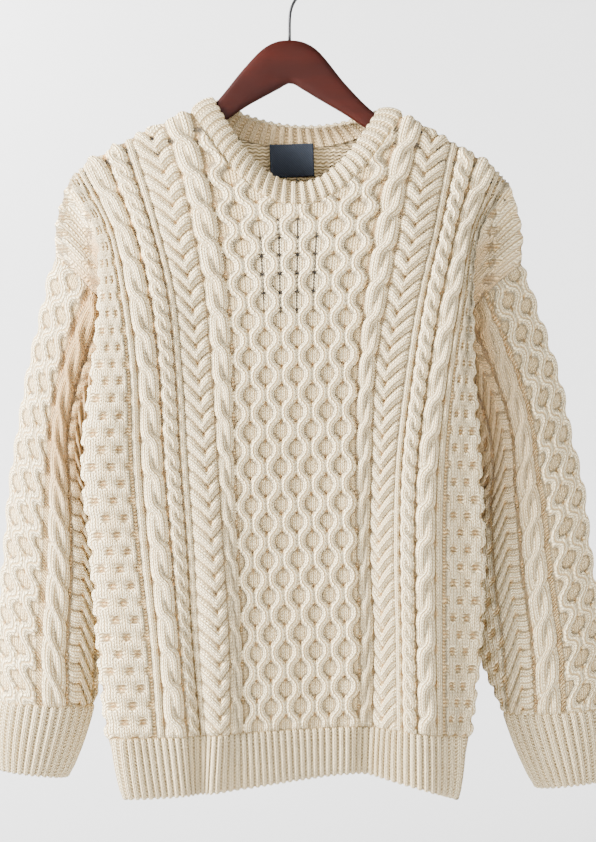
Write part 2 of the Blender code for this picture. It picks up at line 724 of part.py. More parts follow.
def sleeve_surface(side):
    """Inner surface of a sleeve, ring by ring."""
    rings = np.array(LEFT_RINGS if side < 0 else RIGHT_RINGS, float)
    lengths = np.hypot(np.diff(rings[:, 0]), np.diff(rings[:, 1]))
    along = np.concatenate([[0.0], np.cumsum(lengths)])
    phi = np.arange(SLEEVE_COLUMNS) * 2.0 * math.pi / SLEEVE_COLUMNS
    rows = []
    for s in np.linspace(0.0, along[-1], SLEEVE_ROWS + 1):
        ring = [float(smooth_table(along, rings[:, k], s)) for k in range(6)]
        rows.append(ring_point(ring, phi))
    base = np.array(rows)
    tangent = np.roll(base[0], -1, 0) - np.roll(base[0], 1, 0)
    down = base[1] - base[0]
    tangent /= np.linalg.norm(tangent, axis=-1, keepdims=True)
    across = down - tangent * (down * tangent).sum(-1, keepdims=True)
    base[0] += SLEEVE_GAP * across / np.linalg.norm(across, axis=-1, keepdims=True)
    return base


def sleeve_normals(base):
    """Outward directions of a sleeve's cloth."""
    normal = grid_normals(base, True)
    middle = base.mean(1, keepdims=True)
    return normal * np.sign((normal * (base - middle)).sum(-1).mean())


def along_polygon(points, closed, count):
    """Evenly spaced points on a polygon, with their places counted in its corners."""
    if closed:
        points = np.concatenate([points, points[:1]])
    steps = np.linalg.norm(np.diff(points, axis=0), axis=-1)
    length = np.concatenate([[0.0], np.cumsum(steps)])
    at = np.interp(np.linspace(0.0, length[-1], count + 1), length, np.arange(len(points)))
    if closed:
        at = at[:-1]
    return sample(points, at), at


def sample(values, at):
    """Rows of a table of vectors, read between its rows."""
    places = np.arange(len(values))
    return np.stack([np.interp(at, places, values[:, k]) for k in range(3)], -1)


def ribbed_band(name, rims, normals, closed, bulge, gap, parent):
    """Ribbed band between two rims: every other column is a crest."""
    start, end = rims
    down = end - start
    down = down / np.linalg.norm(down, axis=-1, keepdims=True)
    start = start + gap * down
    middle = 0.5 * (start + end) + bulge * normals
    base = np.array([start, middle, end])
    crest = (np.arange(len(start)) % 2)[None, :, None]
    outer = base + normals[None] * (WALL - 0.6 + (RIB_RELIEF + 0.6) * crest)
    columns = list(range(0, len(start), 4))
    if not closed and columns[-1] != len(start) - 1:
        columns.append(len(start) - 1)
    return shell(name, outer, base, ([0, 2], columns), closed, "rib", parent)


def make_welt(name, face, parent):
    """Ribbed hem under one body panel."""
    u, _, base, normal = panel_grids(face)
    points, at = along_polygon(base[0], False, 2 * WELT_RIBS)
    chart = np.interp(at, np.arange(len(u[0])), u[0])
    table = np.array(PANEL_BOTTOM)
    q = np.clip((abs(chart) - FOLD_CHART) / (EDGE_CHART - FOLD_CHART), 0.0, 1.0)
    end_x = smooth_table(table[:, 0], table[:, 3], chart)
    end_z = smooth_table(table[:, 0], table[:, 2], chart)
    end = np.stack([end_x, points[:, 1] * (1.0 - 0.06 * (1.0 - q)), end_z], -1)
    normals = sample(normal[0], at)
    normals[:, 2] = 0.0
    normals = normals / np.linalg.norm(normals, axis=-1, keepdims=True)
    band = ribbed_band(name, (points, end), normals, False, 1.0, SEAM_GAP, parent)
    half_gap = 0.5 * SEAM_GAP * MM
    for vertex in band.data.vertices:
        vertex.co.y = face * max(face * vertex.co.y, half_gap)
    return band


def make_cuff(name, side, parent):
    """Ribbed cuff at the end of a sleeve."""
    base = sleeve_surface(side)
    normal = sleeve_normals(base)
    points, at = along_polygon(base[-1], True, 2 * CUFF_RIBS)
    phi = at * 2.0 * math.pi / SLEEVE_COLUMNS
    end = ring_point(LEFT_CUFF_END if side < 0 else RIGHT_CUFF_END, phi)
    normals = sample(np.concatenate([normal[-1], normal[-1, :1]]), at)
    normals = normals / np.linalg.norm(normals, axis=-1, keepdims=True)
    return ribbed_band(name, (points, end), normals, True, 2.0, 2.0 * SEAM_GAP, parent)


def neck_loop():
    """Neckline of the front and back panels as one polygon, from the front's left round."""
    loops = []
    for face in (-1.0, 1.0):
        columns = panel_columns()
        inside = abs(columns) < INNER_CABLE[0] + 3.0
        u = columns[inside]
        top = main_point(u, np.ones_like(u), face)
        keep = abs(top[:, 0] - NECK_CENTRE) < NECK_HALF_WIDTH - 1.0
        loops.append(top[keep])
    left = np.array([[NECK_CENTRE - NECK_HALF_WIDTH, 0.0, NECK_SIDE_Z + NECK_TILT]])
    right = np.array([[NECK_CENTRE + NECK_HALF_WIDTH, 0.0, NECK_SIDE_Z - NECK_TILT]])
    return np.concatenate([left, loops[0], right, loops[1][::-1]])


def make_neckband(parent):
    """Ribbed band round the neck."""
    points, _ = along_polygon(neck_loop(), True, 2 * NECK_RIBS)
    across = np.clip((points[:, 0] - NECK_CENTRE) / NECK_HALF_WIDTH, -1.0, 1.0)
    theta = np.where(points[:, 1] > 0.0, math.pi - np.arcsin(across), np.arcsin(across))
    rims = (points, upper_neck(theta))
    return ribbed_band("neckband", rims, neck_normal(theta), True, 2.5, 3.0 * SEAM_GAP, parent)


def make_label(parent):
    """Woven label inside the back of the neck."""
    centre_x, centre_z = LABEL_CENTRE
    side = np.linspace(-0.5, 0.5, 4) * LABEL_WIDTH
    rise = np.linspace(-0.5, 0.5, 4) * LABEL_HEIGHT
    dx, dz = np.meshgrid(side, rise)
    x = centre_x + dx - LABEL_TILT * dz
    z = centre_z + dz + LABEL_TILT * dx
    depth = body_depth(np.zeros_like(x), x, z, 1.0)
    back = np.stack([x, depth - LABEL_CLEAR, z], -1)
    front = back - np.array([0.0, LABEL_THICKNESS, 0.0])
    picks = ([0, 1, 2, 3], [0, 1, 2, 3])
    return shell("label", front, back, picks, False, "label", parent)


def make_hanger(parent):
    """Flat wooden arms with rounded edges, cut from one board."""
    mesh_data = bmesh.new()
    rings = []
    for x, top, bottom, thick in HANGER_SECTIONS:
        half = 0.5 * thick
        round_off = min(0.30 * thick, 0.3 * (top - bottom))
        outline = (
            (half - round_off, top), (half, top - round_off),
            (half, bottom + round_off), (half - round_off, bottom),
            (round_off - half, bottom), (-half, bottom + round_off),
            (-half, top - round_off), (round_off - half, top),
        )
        rings.append([mesh_data.verts.new((x * MM, y * MM, z * MM)) for y, z in outline])
    for first, second in zip(rings, rings[1:]):
        for k in range(8):
            m = (k + 1) % 8
            mesh_data.faces.new((first[k], first[m], second[m], second[k]))
    mesh_data.faces.new(rings[0])
    mesh_data.faces.new(rings[-1])
    return finish_mesh("hanger", mesh_data, "mahogany", parent)


def hook_path():
    """Centre line of the hook, from the wood up and round to its open end."""
    centre_z = -(HOOK_RADIUS - HOOK_WIRE)
    start = math.radians(-38.0)
    points = [(HOOK_STEM_X, HOOK_STEM_BOTTOM + SEAM_GAP), (HOOK_STEM_X, HOOK_STEM_TOP)]
    ring_x = HOOK_RADIUS * math.cos(start)
    ring_z = centre_z + HOOK_RADIUS * math.sin(start)
    for k in range(1, 5):
        s = k / 5.0
        points.append((
            HOOK_STEM_X + (ring_x - HOOK_STEM_X) * s ** 1.5,
            HOOK_STEM_TOP + (ring_z - HOOK_STEM_TOP) * math.sin(0.5 * math.pi * s) ** 0.9,
        ))
    for angle in np.linspace(start, math.radians(190.0), 17):
        points.append((HOOK_RADIUS * math.cos(angle), centre_z + HOOK_RADIUS * math.sin(angle)))
    return points


def make_hook(parent):
    """Bent wire hook."""
    curve = bpy.data.curves.new("hanger_hook", "CURVE")
    curve.dimensions = "3D"
    curve.bevel_depth = HOOK_WIRE * MM
    curve.bevel_resolution = 2
    curve.use_fill_caps = True
    path = hook_path()
    spline = curve.splines.new("POLY")
    spline.points.add(len(path) - 1)
    for point, (x, z) in zip(spline.points, path):
        point.co = (x * MM, 0.0, z * MM, 1.0)
    obj = bpy.data.objects.new("hanger_hook", curve)
    bpy.context.scene.collection.objects.link(obj)
    obj.parent = parent
    add_material(obj, "black_wire")
    return obj


def main():
    """Clears the scene and builds the sweater and its hanger."""
    for obj in list(bpy.data.objects):
        bpy.data.objects.remove(obj, do_unlink=True)
    root = bpy.data.objects.new("sweater", None)
    bpy.context.scene.collection.objects.link(root)
    for name, face in (("front", -1.0), ("back", 1.0)):
        make_panel(name, face, root)
        make_welt(f"welt_{name}", face, root)
    for name, side in (("left", -1.0), ("right", 1.0)):
        make_sleeve(f"sleeve_{name}", side, root)
        make_cuff(f"cuff_{name}", side, root)
    make_neckband(root)
    make_label(root)
    make_hanger(root)
    make_hook(root)


main()
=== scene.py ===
"""Looks of a hand-framed cable-knit crewneck sweater on a wooden hanger.

Every size is in millimetres until a mesh is written. The origin is the inside
top of the hook, +Z is up, and the front of the sweater faces -Y.
"""

import logging
import math
from dataclasses import dataclass
from enum import Enum

import bmesh
import bpy
import numpy as np
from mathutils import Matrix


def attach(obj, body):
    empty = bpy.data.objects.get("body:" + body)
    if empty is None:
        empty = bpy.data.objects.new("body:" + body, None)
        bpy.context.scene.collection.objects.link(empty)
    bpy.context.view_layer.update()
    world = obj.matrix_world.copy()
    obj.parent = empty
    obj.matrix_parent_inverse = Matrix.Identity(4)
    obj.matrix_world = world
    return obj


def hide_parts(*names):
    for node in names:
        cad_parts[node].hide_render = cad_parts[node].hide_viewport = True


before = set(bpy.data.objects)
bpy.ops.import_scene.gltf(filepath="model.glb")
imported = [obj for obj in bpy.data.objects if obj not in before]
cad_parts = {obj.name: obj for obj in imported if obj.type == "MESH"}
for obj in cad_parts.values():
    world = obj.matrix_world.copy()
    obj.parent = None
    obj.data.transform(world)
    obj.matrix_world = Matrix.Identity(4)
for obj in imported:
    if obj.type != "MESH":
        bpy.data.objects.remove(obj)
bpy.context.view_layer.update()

LOG = logging.getLogger("sweater")
MM = 0.001
Array = np.ndarray
Material = bpy.types.Material
Piece = bpy.types.Object
Socket = bpy.types.NodeSocket


class Face(Enum):
    """The side of the body that a panel covers."""

    FRONT = -1.0
    BACK = 1.0


class Side(Enum):
    """Left and right as seen from the front."""

    LEFT = -1.0
    RIGHT = 1.0


def smooth_table(xs: Array, ys: Array, at: Array) -> Array:
    """Reads a table through a monotone cubic, straight on beyond its ends.

    Args:
        xs: Places of the table, rising or falling.
        ys: Its values, one table or one for each place in `at` along its last axis.
        at: Where it is read.

    Returns:
        The values at those places.
    """
    xs = np.asarray(xs, float)
    at = np.asarray(at, float)
    ys = np.asarray(ys, float)
    if xs[0] > xs[-1]:
        xs = xs[::-1]
        ys = ys[..., ::-1]
    ys = np.broadcast_to(ys, at.shape + xs.shape)
    run = np.diff(xs)
    slope = np.diff(ys, axis=-1) / run
    before = slope[..., :-1]
    after = slope[..., 1:]
    mean = 0.5 * (before + after)
    limit = 3.0 * np.minimum(abs(before), abs(after))
    inner = np.where(before * after > 0.0, np.sign(mean) * np.minimum(abs(mean), limit), 0.0)
    tangent = np.concatenate([slope[..., :1], inner, slope[..., -1:]], -1)
    k = np.clip(np.searchsorted(xs, at) - 1, 0, len(run) - 1)
    t = np.clip((at - xs[k]) / run[k], 0.0, 1.0)
    here = np.take_along_axis(ys, k[..., None], -1)[..., 0]
    there = np.take_along_axis(ys, k[..., None] + 1, -1)[..., 0]
    leaving = np.take_along_axis(tangent, k[..., None], -1)[..., 0]
    arriving = np.take_along_axis(tangent, k[..., None] + 1, -1)[..., 0]
    value = (
        here * (1 + 2 * t) * (1 - t) ** 2
        + there * t * t * (3 - 2 * t)
        + run[k] * (leaving * t * (1 - t) ** 2 - arriving * t * t * (1 - t))
    )
    value = value + np.minimum(at - xs[0], 0.0) * tangent[..., 0]
    return value + np.maximum(at - xs[-1], 0.0) * tangent[..., -1]


def table_column(table: tuple, column: int, at: Array) -> Array:
    """Reads one column of a table whose first column holds the places."""
    rows = np.array(table, float)
    return smooth_table(rows[:, 0], rows[:, column], at)


def ease(t: Array) -> Array:
    """Smooth step from 0 to 1."""
    t = np.clip(t, 0.0, 1.0)
    return t * t * (3.0 - 2.0 * t)


def ramp(at: Array, start: Array, end: Array) -> Array:
    """Smooth step from 0 at `start` to 1 at `end`, which may lie below it."""
    return ease((at - start) / (end - start))


def bump(t: Array) -> Array:
    """Rounded ridge: 1 at t = 0, nothing beyond -1 and 1."""
    t = np.clip(abs(t), 0.0, 1.0)
    return 0.5 + 0.5 * np.cos(math.pi * t)


def dome(side: Array, power: float) -> Array:
    """Rounded back of a strand: 1 in its middle, 0 at its sides, -1 and 1."""
    return np.cos(0.5 * math.pi * np.clip(side, -1.0, 1.0)) ** power


def swing(phase: Array, sharp: float) -> tuple[Array, Array]:
    """Rounded to-and-fro of a strand, from -1 to 1.

    Args:
        phase: Angle along the strand.
        sharp: How fast it crosses over, about 1 for a sine.

    Returns:
        The swing and its change with the angle.
    """
    top = math.tanh(sharp)
    value = np.tanh(sharp * np.sin(phase))
    change = sharp * np.cos(phase) * (1.0 - value ** 2) / top
    return value / top, change


def wrapped(distance: Array, period: float) -> Array:
    """Distance to the nearest of evenly spaced places."""
    return (distance + 0.5 * period) % period - 0.5 * period


def arc_length(line: Array) -> Array:
    """Distance along a line of points, from its first point to each."""
    steps = np.linalg.norm(np.diff(line, axis=0), axis=-1)
    return np.concatenate([[0.0], np.cumsum(steps)])


def between(first: Array, last: Array, share: Array) -> Array:
    """Points on the way from a first line to a last, one line for each share."""
    share = share[..., None]
    return first[None] * (1.0 - share) + last[None] * share


def unevenness(across: Array, up: Array, seed: float) -> Array:
    """Slow hand-made waviness of hanging cloth, from about -1 to 1."""
    slow = np.sin(across / 61.0 + seed) * np.sin(up / 97.0 + 1.7 * seed)
    middle = np.sin(across / 27.0 - up / 58.0 + 2.3 * seed)
    quick = np.sin(across / 15.0 + 0.6 * seed) * np.sin(up / 31.0 + 3.1 * seed)
    return 0.5 * slow + 0.3 * middle + 0.2 * quick


@dataclass(frozen=True)
class BodyForm:
    """Shape of the hanging body, read from guide lines of the knitting chart.

    A place on a panel is a chart distance u from the panel's middle and a row t
    from 0 at the hem to 1 at the neckline or the shoulder.
    """

    fold_chart: float = 220.0
    edge_chart: float = 262.0
    level_z: float = -430.0
    level_t: float = 0.62
    crowding: float = 1.5
    # The folded edge, the narrow ribs, the plait and the honeycomb's border.
    guide_chart: tuple = (-220, -170, -119.5, -95, -62.4, 62.4, 95, 119.5, 170, 220)
    guide_lines: tuple = (
        # z, fold, rib a, rib b, plait, border | border, plait, rib b, rib a, fold
        (-792, -183, -130, -87, -70, -46, 68, 95, 112, 151, 181),
        (-697, -192, -137, -95, -72, -48, 70, 96, 111, 150, 191),
        (-606, -199, -147, -100, -78, -52, 67, 92, 109, 150, 194),
        (-515, -207, -155, -107, -85, -55, 66, 94, 111, 153, 190),
        (-418, -197, -159, -113, -93, -57, 69, 99, 122, 164, 184),
        (-342, -191, -169, -121, -101, -62, 76, 114, 135, 176, 183),
        (-279, -197, -184, -137, -115, -71, 86, 127, 150, 188, 193),
        (-237, -221, -205, -150, -124, -80, 94, 134, 159, 207, 222),
        (-195, -250, -228, -164, -138, -91, 105, 144, 168, 224, 243),
    )
    shoulder_line: tuple = (
        # x, z
        (-262, -262), (-238, -236), (-222, -220), (-212, -210), (-190, -197),
        (-154, -177), (-129, -166), (-104, -156), (112, -159), (154, -179),
        (177, -192), (198, -205), (214, -217), (230, -234), (262, -270),
    )
    neck_centre: float = 7.0
    neck_half: float = 109.0
    neck_z: float = -157.0
    neck_tilt: float = 1.5
    neck_curve: float = 2.1
    neck_drops: tuple = (97.0, 32.0)
    # Where the search for a column's top begins, and how many halving steps it takes.
    first_top: float = -200.0
    top_rounds: int = 40
    hanger_clear: float = 11.0
    hanger_round: float = 13.0
    depth_drop: float = 200.0
    depth_chart: tuple = (0, 70, 95, 120, 170, 220)
    front_depth: tuple = (44, 44, 44, 45, 47, 44)
    back_depth: tuple = (36, 36, 38, 41, 44, 44)
    # chart position, half width, how far it stands out, heights of its start and full size
    front_folds: tuple = (
        (76, 16, -8, -400, -600), (28, 62, -6, -400, -640), (146, 34, 10, -400, -600),
        (-98, 20, 9, -440, -680), (-126, 14, -5, -600, -760), (-152, 26, 5, -470, -700),
        (-202, 24, 6, -400, -470),
    )
    back_folds: tuple = (
        (0, 40, 8, -380, -640), (-70, 26, -7, -420, -660), (70, 26, -7, -420, -660),
        (140, 30, 6, -430, -660), (-140, 30, 6, -430, -660),
    )
    # How much wider than its row says each fold runs out to nothing.
    fold_spread: float = 1.6
    waviness: float = 1.6
    bottom: tuple = (
        # chart, z of the panel's bottom, z of the welt's bottom, x of the welt's bottom
        (-262, -796, -852, -132), (-220, -797, -856, -167), (-180, -796, -855, -132),
        (-150, -795, -853, -106), (-125, -794, -852, -91), (-100, -793, -850, -77),
        (-62, -791, -846, -44), (0, -788, -838, 12), (62, -786, -832, 67),
        (120, -789, -840, 112), (170, -793, -851, 151), (220, -795, -857, 170),
        (262, -794, -853, 136),
    )
    underarm_t: float = 0.55
    seam_inset: float = 46.0
    valley_t: float = 0.80
    valley_depth: float = 13.0
    pocket_in: float = 17.0
    pocket_deep: float = 12.0
    shoulder_tip: float = 5.0

    def drop(self, face: Face) -> float:
        """How far the neckline dips in the middle of a panel."""
        front, back = self.neck_drops
        return front if face is Face.FRONT else back

    def shoulder_z(self, x: Array) -> Array:
        """Height of the shoulder line at x."""
        return table_column(self.shoulder_line, 1, x)

    def outline_z(self, x: Array, drop: float) -> Array:
        """Height of a panel's top edge at x: the neckline, or the shoulder line."""
        across = np.clip((x - self.neck_centre) / self.neck_half, -1.0, 1.0)
        curve = np.sqrt(1.0 - across ** 2) ** self.neck_curve
        neck = self.neck_z - drop * curve - self.neck_tilt * across
        return np.where(abs(across) < 1.0, neck, self.shoulder_z(x))

    def guide_x(self, u: Array, z: Array) -> Array:
        """Where chart distance u lies across the body at height z."""
        u, z = np.broadcast_arrays(np.asarray(u, float), np.asarray(z, float))
        lines = np.stack([table_column(self.guide_lines, k + 1, z)
                          for k in range(len(self.guide_chart))], -1)
        return smooth_table(self.guide_chart, lines, u)

    def low(self, u: Array, column: int = 1) -> Array:
        """A column of the bottom table at chart distance u."""
        return table_column(self.bottom, column, u)

    def top_row(self, u: Array, drop: float) -> Array:
        """Height at which column u meets the neckline or the shoulder."""
        z = np.full(np.shape(u), self.first_top)
        for _ in range(self.top_rounds):
            z = 0.5 * z + 0.5 * self.outline_z(self.guide_x(u, z), drop)
        return z

    def depth(self, u: Array, x: Array, z: Array, face: Face) -> Array:
        """Distance of the cloth from the hanger's plane, before the folds."""
        full = self.front_depth if face is Face.FRONT else self.back_depth
        full = smooth_table(self.depth_chart, full, abs(u))
        fall = np.maximum(self.outline_z(x, 0.0) - z, 0.0)
        over = np.clip(1.0 - fall / self.hanger_round, 0.0, 1.0)
        near = self.hanger_clear * np.sqrt(1.0 - over ** 2)
        return near + full * ease(fall / self.depth_drop) ** 0.8

    def folds(self, u: Array, z: Array, face: Face) -> Array:
        """How far the folds push the cloth out from the body."""
        shift = np.zeros(np.shape(u))
        rows = self.front_folds if face is Face.FRONT else self.back_folds
        for centre, half, out, start, end in rows:
            grown = ramp(z, start, end)
            shift = shift + out * bump((u - centre) / (self.fold_spread * half)) * grown
        calm = ramp(z, -230.0, -390.0)
        return shift + self.waviness * calm * unevenness(u, z, 2.0 + face.value)

    def main_point(self, u: Array, t: Array, face: Face) -> Array:
        """Points of a panel between its two folded edges.

        Args:
            u: Chart distance of each column.
            t: Row of each line of points, 0 to 1.
            face: The panel.

        Returns:
            A grid of points, one line for each t.
        """
        low = self.low(u)[None]
        top = self.top_row(u, self.drop(face))[None]
        t = t[:, None]
        upper = 1.0 - np.clip((1.0 - t) / (1.0 - self.level_t), 0.0, 1.0) ** self.crowding
        z = low + np.clip(t / self.level_t, 0.0, 1.0) * (self.level_z - low)
        z = np.where(t > self.level_t, self.level_z + upper * (top - self.level_z), z)
        u = np.broadcast_to(u[None], z.shape)
        x = self.guide_x(u, z)
        depth = self.depth(u, x, z, face) + self.folds(u, z, face)
        return np.stack([x, face.value * depth, z], -1)

    def armhole_phi(self, t: Array) -> Array:
        """Where row t of a panel lies on the armhole, from pi at the underarm to 0."""
        up = (t - self.underarm_t) / (1.0 - self.underarm_t)
        return math.pi * (1.0 - np.clip(up, 0.0, 1.0))

    def edge_point(self, side: Side, t: Array, face: Face) -> Array:
        """Points of the side seam, and above the underarm those of the armhole's edge."""
        ring = SLEEVES[side].rings[0]
        under_x, under_z = ring[2:4]
        low = self.low(np.array([side.value * self.edge_chart]))[0]
        z = low + t / self.underarm_t * (under_z - low)
        fold_x = self.guide_x(np.full_like(z, side.value * self.fold_chart), z)
        inset = self.seam_inset - 6.0 * ramp(z, -700.0, -790.0)
        near = ramp(z, under_z - 14.0, under_z)
        seam_x = (fold_x - side.value * inset) * (1.0 - near) + under_x * near
        seam = np.stack([seam_x, np.zeros_like(z), z], -1)
        loop = ring_point(np.array(ring, float), self.armhole_phi(t))
        loop[..., 1] *= -face.value
        return np.where((t <= self.underarm_t)[:, None], seam, loop)

    def side_point(self, side: Side, u: Array, t: Array, face: Face) -> Array:
        """Points of a panel between its folded edge and its side seam or armhole."""
        q = ((abs(u) - self.fold_chart) / (self.edge_chart - self.fold_chart))[None, :, None]
        fold = self.main_point(np.array([side.value * self.fold_chart]), t, face)
        edge = self.edge_point(side, t, face)[:, None]
        point = fold * (1.0 - q) + edge * q
        q = q[..., 0]
        t = t[:, None]
        upper = ramp(t, self.valley_t, self.valley_t + 0.10) * ramp(t, 1.0, 0.90)
        valley = self.valley_depth * np.sin(math.pi * np.clip(q * 1.5, 0.0, 1.0)) * upper
        pocket = np.sin(math.pi * q) * ramp(t, self.valley_t + 0.06, self.valley_t - 0.04)
        depth = face.value * point[..., 1]
        deepest = np.maximum(face.value * fold[..., 1] - 5.0, depth)
        depth = depth + np.minimum(self.pocket_deep, deepest - depth) * pocket - valley
        point[..., 1] = face.value * depth
        tip = ramp(t, 0.8, 1.0) * np.sin(math.pi * q)
        point[..., 0] += side.value * (self.shoulder_tip * tip - self.pocket_in * pocket)
        return point

    def panel(self, u: Array, t: Array, face: Face) -> Array:
        """Inner surface of a whole panel, one line of points for each row t."""
        points = np.empty((len(t), len(u), 3))
        inside = abs(u) <= self.fold_chart
        points[:, inside] = self.main_point(u[inside], t, face)
        for side in Side:
            beyond = side.value * u > self.fold_chart
            points[:, beyond] = self.side_point(side, u[beyond], t, face)
        return points


@dataclass(frozen=True)
class SleeveForm:
    """One hanging sleeve as rings from the armhole down, and the end of its cuff."""

    # outer x, outer z, inner x, inner z, half depth, lean
    rings: tuple
    cuff_end: tuple
    crossing: float

    def surface(self, rows: int, columns: int) -> tuple[Array, Array, Array]:
        """Cloth of the sleeve before its stitches.

        Args:
            rows: How many steps run down the sleeve.
            columns: How many steps run round it, from the inner edge round to itself.

        Returns:
            The points, and for each the distance round from the outer edge and
            the distance down from the armhole.
        """
        rings = np.array(self.rings, float)
        lengths = np.hypot(np.diff(rings[:, 0]), np.diff(rings[:, 1]))
        along = np.concatenate([[0.0], np.cumsum(lengths)])
        at = np.linspace(0.0, along[-1], rows + 1)
        ring = np.stack([smooth_table(along, rings[:, k], at) for k in range(6)], -1)
        phi = np.linspace(-math.pi, math.pi, columns + 1)
        points = ring_point(ring[:, None], phi)
        steps = np.linalg.norm(np.diff(points, axis=1), axis=-1)
        around = np.concatenate([np.zeros((rows + 1, 1)), np.cumsum(steps, 1)], 1)
        around = around - 0.5 * around[:, -1:]
        down = np.linalg.norm(np.diff(points, axis=0), axis=-1)
        down = np.concatenate([np.zeros((1, columns + 1)), np.cumsum(down, 0)], 0)
        down = 0.6 * down + 0.4 * down[:, columns // 2][:, None]
        return points, around, down


def ring_point(ring: Array, phi: Array) -> Array:
    """Point of a sleeve ring: phi 0 is its outer edge, pi the inner, pi/2 the front."""
    ring = np.asarray(ring, float)
    level = np.zeros(ring.shape[:-1])
    outer = np.stack([ring[..., 0], level, ring[..., 1]], -1)
    inner = np.stack([ring[..., 2], level, ring[..., 3]], -1)
    phi = np.asarray(phi, float)[..., None]
    across = np.sin(phi) * ring[..., 4:5] * np.array([0.0, -1.0, 0.0])
    toward = -np.sign(ring[..., 0:1]) * ring[..., 5:6]
    lean = np.sin(phi) ** 2 * toward * np.array([1.0, 0.0, 0.0])
    return 0.5 * (outer + inner) + 0.5 * (outer - inner) * np.cos(phi) + across + lean


SLEEVES = {
    Side.LEFT: SleeveForm(
        rings=(
            (-242, -304, -183, -473, 34, 38), (-249, -333, -192, -495, 34, 26),
            (-258, -373, -195, -519, 33, 13), (-269, -424, -196, -543, 33, 4),
            (-279, -485, -195, -567, 33, 0), (-287, -537, -194, -594, 33, 0),
            (-293, -612, -191, -645, 33, 0), (-300, -693, -196, -708, 33, 0),
            (-302, -765, -208, -770, 30, 0),
        ),
        cuff_end=(-304, -833, -233, -842, 22, 0),
        crossing=9.0,
    ),
    Side.RIGHT: SleeveForm(
        rings=(
            (239, -313, 168, -474, 34, 38), (250, -346, 178, -496, 34, 26),
            (263, -385, 184, -520, 33, 13), (278, -437, 189, -544, 33, 4),
            (288, -491, 190, -569, 33, 0), (300, -542, 190, -596, 33, 0),
            (308, -607, 192, -647, 33, 0), (319, -680, 199, -710, 33, 0),
            (327, -772, 226, -778, 30, 0),
        ),
        cuff_end=(329, -844, 257, -853, 22, 0),
        crossing=21.0,
    ),
}


def blur(field: Array, rows: int, columns: int) -> Array:
    """Box-blurs a grid over this many rows and columns each way."""
    for axis, reach in ((0, rows), (1, columns)):
        pad = [(reach, reach) if k == axis else (0, 0) for k in range(2)]
        wide = np.pad(field, pad, mode="edge")
        total = np.cumsum(wide, axis)
        first = np.take(total, [0], axis) * 0.0
        total = np.concatenate([first, total], axis)
        size = field.shape[axis]
        span = 2 * reach + 1
        high = np.take(total, range(span, span + size), axis)
        low = np.take(total, range(0, size), axis)
        field = (high - low) / span
    return field


